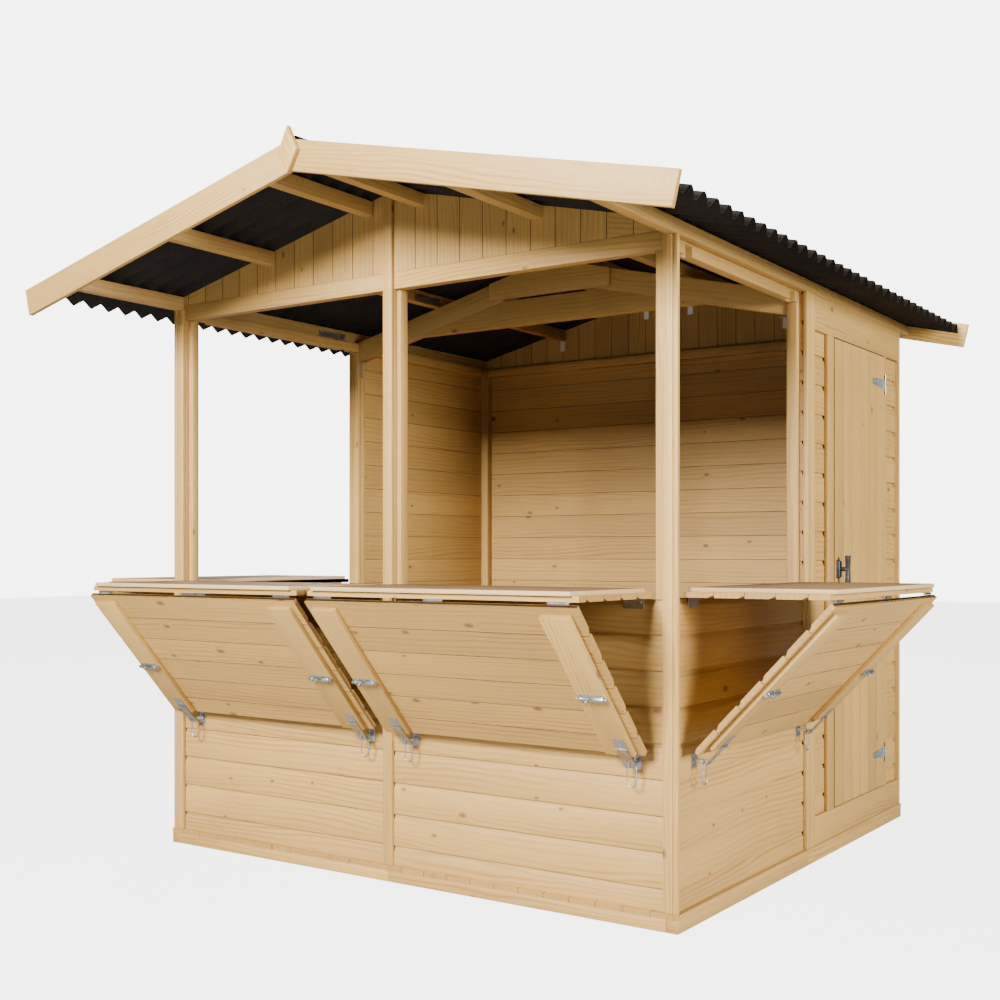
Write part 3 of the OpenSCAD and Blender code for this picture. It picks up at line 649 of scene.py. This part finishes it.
def tongue_boards(name, width, total, thick, pitch, first, groove):
    """Upright boards side by side along X, with open joints on both faces."""
    tight = 0.0003   # between the tongues
    piece = slab(name, (first - pitch + tight, 0, 0), (first, thick, total))
    edit(piece)
    for depth in (JOINT_DEEP - STEP, JOINT_DEEP,
                  thick - JOINT_DEEP, thick - JOINT_DEEP + STEP):
        cut((0, depth, 0), Y)
    pick(piece, "VERT", lambda v: v.co.x > first - SAME
         and abs(v.co.y - thick / 2) > thick / 2 - JOINT_DEEP + STEP / 2)
    bpy.ops.transform.translate(value=(-groove, 0, 0))
    # the faces inside the joints are flagged for painted shade
    mark(piece, lambda c, n: abs(c.y - thick / 2) > thick / 2 - JOINT_DEEP
         and (abs(n.x) > 0.9
              or abs(c.y - thick / 2) < thick / 2 - JOINT_DEEP + STEP))
    done()
    repeat(piece, math.ceil((width - first) / pitch) + 1, (pitch, 0, 0))
    edit(piece)
    cut((0, 0, 0), X, "above")
    cut((width, 0, 0), X, "below")
    done()
    return piece


def axes(origin, x, y, z):
    """A placing matrix from an origin and three directions."""
    made = Matrix((x, y, z)).transposed().to_4x4()
    made.translation = origin
    return made


FACING = {"front": (X, Y), "right": (Y, -X), "back": (-X, -Y), "left": (-Y, X)}


def wall_axes(low, high, facing):
    """Axes and length of a wall box that faces one way."""
    x, y = FACING[facing]
    corner = {"front": (low.x, low.y), "right": (high.x, low.y),
              "back": (high.x, high.y), "left": (low.x, high.y)}[facing]
    size = high - low
    long, thick = (size.x, size.y) if y.y else (size.y, size.x)
    return axes(Vector((*corner, low.z)), x, y, Z), long, thick


def lap_wall(name, low, high, facing, sizes):
    matrix, long, thick = wall_axes(low, high, facing)
    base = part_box("low_walls")[0].z
    first = (base + sizes.first_course - low.z) % sizes.lap_pitch
    if first < 0.001:
        first = sizes.lap_pitch
    piece = lap_boards(name, long, high.z - low.z, thick, sizes.lap_pitch,
                       first, sizes.lap_cove)
    place(piece, matrix)
    return piece


def metres(name, description, default, low, high):
    return FloatProperty(name=name, description=description, default=default,
                         min=low, max=high, unit="LENGTH")


def paint(name, description, default):
    return FloatVectorProperty(name=name, description=description,
                               subtype="COLOR", default=default, min=0, max=1)


class StallSizes(bpy.types.PropertyGroup):
    """Sizes of the boards and fittings."""
    lap_pitch: metres("Cladding course",
        "Height of a course of cladding", 0.1245, 0.08, 0.16)
    first_course: metres("First course",
        "Height of the cut bottom course", 0.076, 0.01, 0.16)
    lap_cove: metres("Hollow",
        "Height of the hollow of a course", 0.026, 0.005, 0.04)
    gable_pitch: metres("Gable board",
        "Width of an upright gable board", 0.107, 0.08, 0.15)
    floor_pitch: metres("Floor board",
        "Width of a floor board", 0.109, 0.08, 0.15)
    counter_pitch: metres("Counter board",
        "Width of a counter board", 0.111, 0.08, 0.15)
    flap_pitch: metres("Flap board",
        "Width of a flap board", 0.1195, 0.08, 0.15)
    groove: metres("Groove",
        "Width of a joint between tongue boards", 0.0024, 0.001, 0.006)
    edge: metres("Edge",
        "Rounding of the timbers' edges", 0.002, 0.0005, 0.005)
    top_thick: metres("Counter sheet",
        "Thickness of the smooth top sheet", 0.015, 0.01, 0.02)
    pitch_angle: FloatProperty(
        name="Roof pitch", description="Slope of the roof",
        default=math.radians(13.34), min=0.1, max=0.4, subtype="ANGLE")
    waves: IntProperty(
        name="Waves", description="Corrugations along the roof",
        default=33, min=20, max=40)


class StallColours(bpy.types.PropertyGroup):
    """Colours of the finishes."""
    pine: paint("Pine",
        "Early wood", (0.475, 0.28, 0.070))
    pine_dark: paint("Pine lines",
        "Late wood", (0.27, 0.125, 0.026))
    roof: paint("Roof",
        "Bitumen sheet", (0.009, 0.007, 0.006))
    zinc: paint("Zinc",
        "Galvanised fittings", (0.42, 0.43, 0.44))
    top: paint("Counter sheet",
        "Smooth top of the counters", (0.22, 0.12, 0.05))


# ---- Operators --------------------------------------------------------------

class Maker:
    """What the operators share: each makes its pieces from the sizes."""

    def execute(self, context):
        self.make(context.scene.stall_sizes)
        return {"FINISHED"}


class STALL_OT_floor(Maker, bpy.types.Operator):
    """Floor decks of tongue boards that run from front to back"""
    bl_idname = "stall.floor"
    bl_label = "Floor decks"

    def make(self, sizes):
        low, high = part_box("floor_decks")
        parts = []
        for x0, x1 in ((low.x, SEAM.x - PANEL_GAP),
                       (SEAM.x + PANEL_GAP, high.x)):
            for y0, y1 in ((low.y, SEAM.y - PANEL_GAP),
                           (SEAM.y + PANEL_GAP, high.y)):
                part = tongue_boards("deck", x1 - x0, y1 - y0, high.z - low.z,
                                     sizes.floor_pitch, sizes.floor_pitch * 0.6,
                                     sizes.groove * 0.7)
                lay_grain(part)
                place(part, axes(Vector((x0, y1, low.z)), X, Z, -Y))
                parts.append(part)
        deck = join("floor_boards", parts)
        finish_piece(deck, "boards", "stall", "pine", ["floor_decks"])


class STALL_OT_walls(Maker, bpy.types.Operator):
    """Profiled cladding of the low walls, back walls and side walls"""
    bl_idname = "stall.walls"
    bl_label = "Cladding"

    def make(self, sizes):
        low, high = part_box("low_walls")
        back_low, back_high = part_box("back_walls")
        side_low, side_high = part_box("right_rear_wall")
        leaf_low, leaf_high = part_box("door_leaf")
        t = back_high.y - back_low.y
        x0, x1 = SEAM.x - PANEL_GAP, SEAM.x + PANEL_GAP
        # the front boards stop under the counters
        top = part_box("counter_front_left")[0].z - 0.006
        # the boards beside, over and under the door stop at its frame
        frame_t = 2 * (JOINTS["door_hinge"]["pos_m"][1] - leaf_high.y)
        y0, y1 = leaf_low.y - frame_t, leaf_high.y + frame_t
        foot, head = leaf_low.z - frame_t, leaf_high.z + frame_t
        base = low.z
        for name, facing, corners, nodes in (
                ("low_wall_front", "front",
                 [((low.x + t, low.y, base), (x0, low.y + t, top)),
                  ((x1, low.y, base), (high.x - t, low.y + t, top))],
                 ["low_walls"]),
                ("low_wall_right", "right",
                 [((high.x - t, low.y, base),
                   (high.x, SEAM.y - PANEL_GAP, high.z))], []),
                ("low_wall_left", "left",
                 [((low.x, low.y, base),
                   (low.x + t, SEAM.y - PANEL_GAP, high.z))], []),
                ("rear_wall_left", "left", [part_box("left_rear_wall")],
                 ["left_rear_wall"]),
                ("rear_wall_back", "back",
                 [((back_low.x, back_low.y, base),
                   (x0, back_high.y, back_high.z)),
                  ((x1, back_low.y, base), back_high)], ["back_walls"]),
                ("rear_wall_right", "right",
                 [((side_low.x, side_low.y, base),
                   (side_high.x, y0, side_high.z)),
                  ((side_low.x, y1, base), side_high),
                  ((side_low.x, y0, head), (side_high.x, y1, side_high.z)),
                  ((side_low.x, y0, base), (side_high.x, y1, foot))],
                 ["right_rear_wall"])):
            parts = [lap_wall("part", Vector(a), Vector(b), facing, sizes)
                     for a, b in corners]
            finish_piece(join(name, parts), "cladding", "stall", "pine", nodes)


class STALL_OT_gables(Maker, bpy.types.Operator):
    """Upright boards of the front and back gables"""
    bl_idname = "stall.gables"
    bl_label = "Gables"

    def make(self, sizes):
        for name, facing, start in (("front_gable", "front", 0.03),
                                    ("back_gable", "back", 0.06)):
            low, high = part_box(name)
            matrix, long, thick = wall_axes(low, high, facing)
            piece = tongue_boards(name + "_boards", long, high.z - low.z,
                                  thick, sizes.gable_pitch, start, sizes.groove)
            place(piece, matrix)
            edit(piece)
            slope = math.tan(sizes.pitch_angle)
            for side in (-1, 1):
                cut((0, 0, high.z), (side * slope, 0, 1), "below")
            done()
            lay_grain(piece)
            finish_piece(piece, "boards", "stall", "pine", [name])


class STALL_OT_timbers(Maker, bpy.types.Operator):
    """Bearers, posts, studs, beams, purlins, truss, strips and bargeboards"""
    bl_idname = "stall.timbers"
    bl_label = "Frame timbers"

    def make(self, sizes):
        for finish, slot, names in (
                ("frame", "pine", ("base_bearers", "door_frame",
                                   "corner_posts", "wall_frames", "top_beams",
                                   "purlins", "truss")),
                ("strips", "pale_pine", ("cover_strips", "bargeboards",
                                         "finials"))):
            for name in names:
                piece = copy_of(name, name + "_planed")
                soften(piece, sizes.edge)
                lay_grain(piece)
                finish_piece(piece, finish, "stall", slot, [name])


class STALL_OT_roof(Maker, bpy.types.Operator):
    """Corrugated sheets with their nails, and the ridge cap"""
    bl_idname = "stall.roof"
    bl_label = "Roof"

    def make(self, sizes):
        for side, name in ((1, "roof_sheet_right"), (-1, "roof_sheet_left")):
            finish_piece(corrugated(name, side, sizes), "sheet", "stall",
                         "corrugated_sheet", [name])
            finish_piece(roof_nails(name, side, sizes), "sheet", "stall",
                         "corrugated_sheet")
        cap = copy_of("ridge_cap", "ridge_roll")
        only(cap)
        smooth(30)
        finish_piece(cap, "sheet", "stall", "corrugated_sheet",
                     ["ridge_cap"])


def roof_nails(name, side, sizes):
    """Capped nails on every third crest over the outer purlins."""
    low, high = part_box(name)
    inner, outer = (low.x, high.x) if side > 0 else (high.x, low.x)
    pitch = (high.y - low.y) / sizes.waves
    slope = sizes.pitch_angle
    rows = []
    for share in (0.5, 0.88):
        x = inner + (outer - inner) * share
        z = high.z - abs(x - inner) * math.tan(slope)
        crest = Vector((x, low.y + 1.5 * pitch, z))
        off = Vector((side * math.sin(slope), 0, math.cos(slope)))
        nail = heads("nail", [(crest, off)], 0.011, 0.5)
        repeat(nail, sizes.waves // 3, (0, 3 * pitch, 0))
        rows.append(nail)
    return join(name + "_nails", rows)


def corrugated(name, side, sizes):
    """One slope: a grid that is waved along Y, given its slope and thickness."""
    low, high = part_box(name)
    slope = sizes.pitch_angle
    thick, wave_h, steps = 0.003, 0.035, 14   # 14 steps in each wave
    inner, outer = (low.x, high.x) if side > 0 else (high.x, low.x)
    bpy.ops.mesh.primitive_grid_add(
        x_subdivisions=6, y_subdivisions=sizes.waves * steps, size=1,
        location=((low.x + high.x) / 2, (low.y + high.y) / 2, 0))
    piece = bpy.context.object
    piece.name = piece.data.name = name + "_waved"
    run = abs(outer - inner)
    lean = (wave_h + thick) * math.sin(slope)
    piece.scale = (run - lean, high.y - low.y, 1)
    settle()
    # the underside's lowest line at the inner edge
    top = high.z - (wave_h + thick) * math.cos(slope)
    for v in piece.data.vertices:
        share = (v.co.y - low.y) / (high.y - low.y)
        swing = (1 - math.cos(2 * math.pi * share * sizes.waves)) / 2
        lift = wave_h * swing ** 0.75   # crests a little wider than troughs
        reach = (v.co.x - (low.x + high.x) / 2) * side + (run - lean) / 2
        v.co.x = inner + side * (reach + lift * math.sin(slope))
        v.co.z = top - reach * math.tan(slope) + lift * math.cos(slope)
    only(piece)
    skin = piece.modifiers.new("skin", "SOLIDIFY")
    skin.thickness = thick
    skin.offset = 1.0
    bpy.ops.object.modifier_apply(modifier="skin")
    smooth(40)
    return piece


class STALL_OT_door(Maker, bpy.types.Operator):
    """Door leaf of upright boards with its ledges"""
    bl_idname = "stall.door"
    bl_label = "Door"

    def make(self, sizes):
        low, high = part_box("door_leaf")
        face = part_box("cover_strips")[1].x
        thick = 0.018
        pitch = (high.y - low.y) / 6
        leaf = tongue_boards("door_boards", high.y - low.y, high.z - low.z,
                             thick, pitch, pitch, sizes.groove / 2)
        place(leaf, axes(Vector((face, low.y, low.z)), Y, -X, Z))
        lay_grain(leaf)
        finish_piece(leaf, "boards", "door", "pine", ["door_leaf"])
        ledge_h, inset, end = 0.095, 0.04, 0.15
        tall = high.z - low.z
        ledges = [slab("ledge", (low.x, low.y + inset, low.z + at),
                       (face - thick, high.y - inset, low.z + at + ledge_h))
                  for at in (end, tall / 2, tall - end - ledge_h)]
        inner = join("door_ledges", ledges)
        soften(inner, 0.004)
        lay_grain(inner)
        finish_piece(inner, "frame", "door", "pine")


class STALL_OT_counters(Maker, bpy.types.Operator):
    """Folding counters: profiled boards under a smooth sheet"""
    bl_idname = "stall.counters"
    bl_label = "Counters"

    def make(self, sizes):
        for bay in BAYS:
            pin = joint_at("counter_", bay)
            turn = Matrix.Rotation(math.radians(TURN[bay]), 3, "Z")
            out, along = turn @ -Y, turn @ X
            low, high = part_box("counter_" + bay)
            long = abs((high - low).dot(along))
            start = (low + high) / 2 - along * long / 2
            start = start + out * ((pin - start).dot(out) + LIFT)
            start.z = pin.z + LIFT
            deep = (joint_at("flap_", bay) - pin).dot(out) - PIN_GAP - LIFT
            board_t = high.z - sizes.top_thick - start.z
            boards = lap_boards("counter_boards_" + bay, long, deep, board_t,
                                sizes.counter_pitch, sizes.counter_pitch,
                                sizes.lap_cove)
            place(boards, axes(start, along, Z, out))
            finish_piece(boards, "cladding", "counter_" + bay,
                         "counter_top", ["counter_" + bay])
            # the smooth sheet: margins at its ends, a lip past the boards
            margin, lip, back = 0.026, 0.012, 0.002
            sheet = slab("counter_sheet_" + bay, (margin, back, 0),
                         (long - margin, deep + lip + back, sizes.top_thick))
            soften(sheet, 0.0015)
            lay_grain(sheet)
            place(sheet, axes(start + Z * board_t + along * long, -along,
                              out, Z))
            finish_piece(sheet, "top", "counter_" + bay, "counter_top")
            sheet.data.materials.append(FINISH["top_edge"])
            for face in sheet.data.polygons:
                face.material_index = 0 if abs(face.normal.z) > 0.7 else 1


class STALL_OT_flaps(Maker, bpy.types.Operator):
    """Brace flaps: profiled boards with two battens each"""
    bl_idname = "stall.flaps"
    bl_label = "Brace flaps"

    def make(self, sizes):
        thick, batten_t, wide, inset = 0.018, 0.020, 0.115, 0.026
        root, lip, clear = 0.024, 0.012, 0.007   # ends of the battens
        for bay in BAYS:
            matrix = flap_axes(bay)
            along, off, down = (matrix.col[i].to_3d() for i in range(3))
            pin = joint_at("flap_", bay)
            low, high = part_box("flap_" + bay)
            long = abs((high - low).dot(along))
            total = flap_length(bay, low, high, off, down)
            start = pin + along * ((low + high) / 2 - pin).dot(along) \
                - along * long / 2 + down * PIN_GAP + off * LIFT
            boards = lap_boards("flap_boards_" + bay, long, total, thick,
                                sizes.flap_pitch, sizes.flap_pitch,
                                sizes.lap_cove)
            place(boards, axes(start, along, off, down))
            finish_piece(boards, "cladding", "flap_" + bay, "pine",
                         ["flap_" + bay])
            # the battens stay clear of the wall plate when the bay is shut
            fold = (joint_at("counter_", bay) - pin).length
            shut = pin.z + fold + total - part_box("wall_frames")[1].z
            short = max(lip, shut + clear)
            battens = join("flap_battens_" + bay, [
                slab("batten", (at, thick, root),
                     (at + wide, thick + batten_t, total - short))
                for at in (inset, long - inset - wide)])
            soften(battens, sizes.edge)
            lay_grain(battens)
            place(battens, axes(start, along, off, down))
            finish_piece(battens, "strips", "flap_" + bay, "pine")


def joint_at(kind, bay):
    """Middle of the hinge pin of a bay's counter or flap."""
    return Vector(JOINTS[kind + bay + "_hinge"]["pos_m"])


def flap_length(bay, low, high, off, down):
    """Distance from the pin to the foot, from the flap's own box."""
    inner = Matrix.Rotation(math.radians(TURN[bay]), 3, "Z") @ Y
    pin = joint_at("flap_", bay)
    reach = max((low - pin).dot(inner), (high - pin).dot(inner))
    return (reach - LIFT * off.dot(inner)) / down.dot(inner) - PIN_GAP


class STALL_OT_fittings(Maker, bpy.types.Operator):
    """Hinges, staples, hooks, hasps, bolts and perforated plates"""
    bl_idname = "stall.fittings"
    bl_label = "Fittings"

    def make(self, sizes):
        outward = [-Y, X, -X]
        jobs = [("wall_fittings", "stall", outward),
                ("hasp_staples", "stall", outward),
                ("roof_connectors", "stall", []), ("door_hinges", "door", [X])]
        for bay in BAYS:
            off = flap_axes(bay).to_3x3() @ Y
            jobs += [("counter_fittings_" + bay, "counter_" + bay, [-Z]),
                     ("flap_fittings_" + bay, "flap_" + bay, [off, -off]),
                     ("hasps_" + bay, "flap_" + bay, [])]
        for name, body, normals in jobs:
            piece = copy_of(name, name + "_zinc")
            spots = screw_spots(piece, normals) if normals else []
            if name == "roof_connectors":
                pierce(piece)
            soften(piece, 0.0004, 1, 40)
            finish_piece(piece, "zinc", body, "galvanised", [name])
            if spots:
                finish_piece(heads(name + "_screws", spots), "zinc", body,
                             "galvanised")
        for bay in BAYS:
            finish_piece(bolt_parts(bay), "zinc", "flap_" + bay, "galvanised")
        finish_piece(door_handle(), "handle", "door", "black_handle",
                     ["door_handle"])


def flap_axes(bay):
    """Axes of a flap at rest: along its pin, off its boards, down its slope."""
    turn = Matrix.Rotation(math.radians(TURN[bay]), 3, "Z")
    lean = math.radians(JOINTS["flap_%s_hinge" % bay]["range_deg"][1])
    return axes(joint_at("flap_", bay), turn @ X,
                turn @ Vector((0, -math.sin(lean), math.cos(lean))),
                turn @ Vector((0, -math.cos(lean), -math.sin(lean))))


def pierce(piece):
    """Two rows of holes through each long perforated plate."""
    pins = []
    count, radius, past, long = 9, 0.0028, 0.01, 0.15
    for low, high in loose_boxes(piece, Matrix()):
        size = high - low
        if size.y < long:
            continue
        for row in (0.28, 0.72):
            z = low.z + size.z * row
            for i in range(count):
                y = low.y + size.y * (i + 0.5) / count
                pins.append(rod("pin", (low.x - past, y, z),
                                (high.x + past, y, z), radius, 10))
    holes = join("holes", pins)
    only(piece)
    cutter = piece.modifiers.new("holes", "BOOLEAN")
    cutter.operation = "DIFFERENCE"
    cutter.object = holes
    bpy.ops.object.modifier_apply(modifier="holes")
    only(holes)
    bpy.ops.object.delete()


def bolt_parts(bay):
    """Guides and knobs of the barrel bolts on one flap."""
    matrix = flap_axes(bay)
    source = copy_of("flap_fittings_" + bay, "bolts")
    boxes = [b for b in loose_boxes(source, matrix) if (b[1] - b[0]).x > 0.1]
    only(source)
    bpy.ops.object.delete()
    # the barrel and the end guide: from, to and radius
    guides = ((-0.008, 0.046, 0.0095), (-0.046, -0.036, 0.0085))
    sunk, knob_at, knob_h, knob_r = 0.006, 0.018, 0.018, 0.0045
    parts = []
    for low, high in boxes:
        middle = (low + high) / 2
        y = high.y - sunk
        for x0, x1, radius in guides:
            parts.append(rod("guide", (middle.x + x0, y, middle.z),
                             (middle.x + x1, y, middle.z), radius, 20))
        x = middle.x - knob_at
        parts.append(rod("knob", (x, y, middle.z), (x, y + knob_h, middle.z),
                         knob_r, 14))
    piece = join("barrel_bolts_" + bay, parts)
    soften(piece, 0.0008)
    place(piece, matrix)
    return piece


def door_handle():
    """A tapered plate, a round shaft and a grip that is waisted in the middle."""
    low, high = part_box("door_handle")
    middle = (low + high) / 2
    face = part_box("door_leaf")[1].x
    plate_t, plate_h, plate_w = 0.014, 0.083, 0.040
    shaft_r, grip_t, grip_w = 0.010, 0.019, 0.026
    plate = slab("plate", (face, middle.y - plate_w / 2, middle.z - plate_h / 2),
                 (face + plate_t, middle.y + plate_w / 2,
                  middle.z + plate_h / 2))
    edit(plate)
    pick(plate, "VERT", lambda v: v.co.x > face + plate_t / 2)
    bpy.ops.transform.resize(value=(1, 0.72, 0.82), center_override=middle)
    done()
    shaft = rod("shaft", (face + plate_t / 2, middle.y, middle.z),
                (high.x - grip_t / 2, middle.y, middle.z), shaft_r, 24)
    grip = slab("grip", (high.x - grip_t, middle.y - grip_w / 2, low.z),
                (high.x, middle.y + grip_w / 2, high.z))
    edit(grip)
    for share in (-0.3, -0.12, 0.12, 0.3):
        cut((0, 0, middle.z + share * (high.z - low.z)), Z)
    pick(grip, "VERT", lambda v: abs(v.co.z - middle.z) < 0.02)
    bpy.ops.transform.resize(value=(1, 0.62, 1), center_override=middle)
    pick(grip, "VERT", lambda v: 0.02 < abs(v.co.z - middle.z) < 0.045)
    bpy.ops.transform.resize(value=(1, 0.82, 1), center_override=middle)
    done()
    piece = join("door_handle_black", [plate, shaft, grip])
    soften(piece, 0.003, 3, 40)
    return piece


# name, place in metres, side of the square in metres, watts
LAMPS = (("key", (0.5, -9.0, 4.7), 2.6, 2900),
         ("side", (9.0, -2.0, 3.0), 3.0, 1700),
         ("rim", (-5.0, 8.0, 5.0), 5.0, 900))
LAMPS_AIM = Vector((0, 0, 1.2))


class STALL_OT_stage(Maker, bpy.types.Operator):
    """Pale floor, soft lights and the camera"""
    bl_idname = "stall.stage"
    bl_label = "Stage"

    def make(self, sizes):
        scene = bpy.context.scene
        bpy.ops.mesh.primitive_plane_add(size=60, location=(0, 0, -0.001))
        floor = bpy.context.object
        floor.name = "studio_floor"
        made, tree, shader = new_material("Studio floor")
        shader.inputs["Roughness"].default_value = 0.85
        dust = use_group(tree, GROUPS["dust"], Scale=0.6)
        mixed = mix_colour(tree, dust.outputs["Patch"], (0.30, 0.29, 0.28, 1),
                           (0.34, 0.33, 0.32, 1))
        tree.links.new(mixed, shader.inputs["Base Color"])
        # white to the eye, but with little light thrown back on the stall
        seen = node(tree, "LightPath").outputs["Is Camera Ray"]
        shader.inputs["Emission Color"].default_value = (1, 1, 1, 1)
        tree.links.new(span(tree, seen, 0, 1, 0.0, 4.0),
                       shader.inputs["Emission Strength"])
        floor.data.materials.append(made)
        world = bpy.data.worlds.new("Soft room")
        world.use_nodes = True
        sky = world.node_tree
        backdrop = sky.nodes["Background"]
        backdrop.inputs[0].default_value = (1.0, 1.0, 1.0, 1)
        path = node(sky, "LightPath")
        strength = span(sky, path.outputs["Is Camera Ray"], 0, 1, 0.07, 6.0)
        sky.links.new(strength, backdrop.inputs[1])
        scene.world = world
        for name, spot, size, power in LAMPS:
            lamp = bpy.data.lights.new(name, "AREA")
            lamp.energy = power
            lamp.size = size
            light = bpy.data.objects.new(name, lamp)
            light.location = spot
            aim = LAMPS_AIM - Vector(spot)
            light.rotation_euler = aim.to_track_quat("-Z", "Y").to_euler()
            scene.collection.objects.link(light)
        # a level camera with its lens shifted up, so that posts stay upright
        lens = bpy.data.cameras.new("view")
        lens.sensor_width = 36
        lens.lens = 46.67
        lens.shift_y = 0.0537
        camera = bpy.data.objects.new("view", lens)
        camera.location = (3.2424, -5.1565, 1.2895)
        camera.rotation_euler = (math.radians(90), 0, math.radians(34.54))
        scene.collection.objects.link(camera)
        scene.camera = camera


class STALL_PT_panel(bpy.types.Panel):
    """Pieces of the stall"""
    bl_idname = "STALL_PT_panel"
    bl_label = "Market stall"
    bl_space_type = "VIEW_3D"
    bl_region_type = "UI"
    bl_category = "Stall"

    def draw(self, context):
        for group in (context.scene.stall_sizes, context.scene.stall_colours):
            for key in group.__annotations__:
                self.layout.prop(group, key)
        for made in OPERATORS:
            self.layout.operator(made.bl_idname)


OPERATORS = (STALL_OT_floor, STALL_OT_walls, STALL_OT_gables,
             STALL_OT_timbers, STALL_OT_roof, STALL_OT_door,
             STALL_OT_counters, STALL_OT_flaps, STALL_OT_fittings,
             STALL_OT_stage)
CLASSES = (StallSizes, StallColours, *OPERATORS, STALL_PT_panel)

def register():
    for made in CLASSES:
        bpy.utils.register_class(made)
    bpy.types.Scene.stall_sizes = PointerProperty(type=StallSizes)
    bpy.types.Scene.stall_colours = PointerProperty(type=StallColours)


def unregister():
    del bpy.types.Scene.stall_colours
    del bpy.types.Scene.stall_sizes
    for made in reversed(CLASSES):
        bpy.utils.unregister_class(made)


def main():
    register()
    prepare_finishes(bpy.context.scene.stall_colours)
    for made in OPERATORS:
        group, name = made.bl_idname.split(".")
        getattr(getattr(bpy.ops, group), name)()


if __name__ == "__main__":
    main()
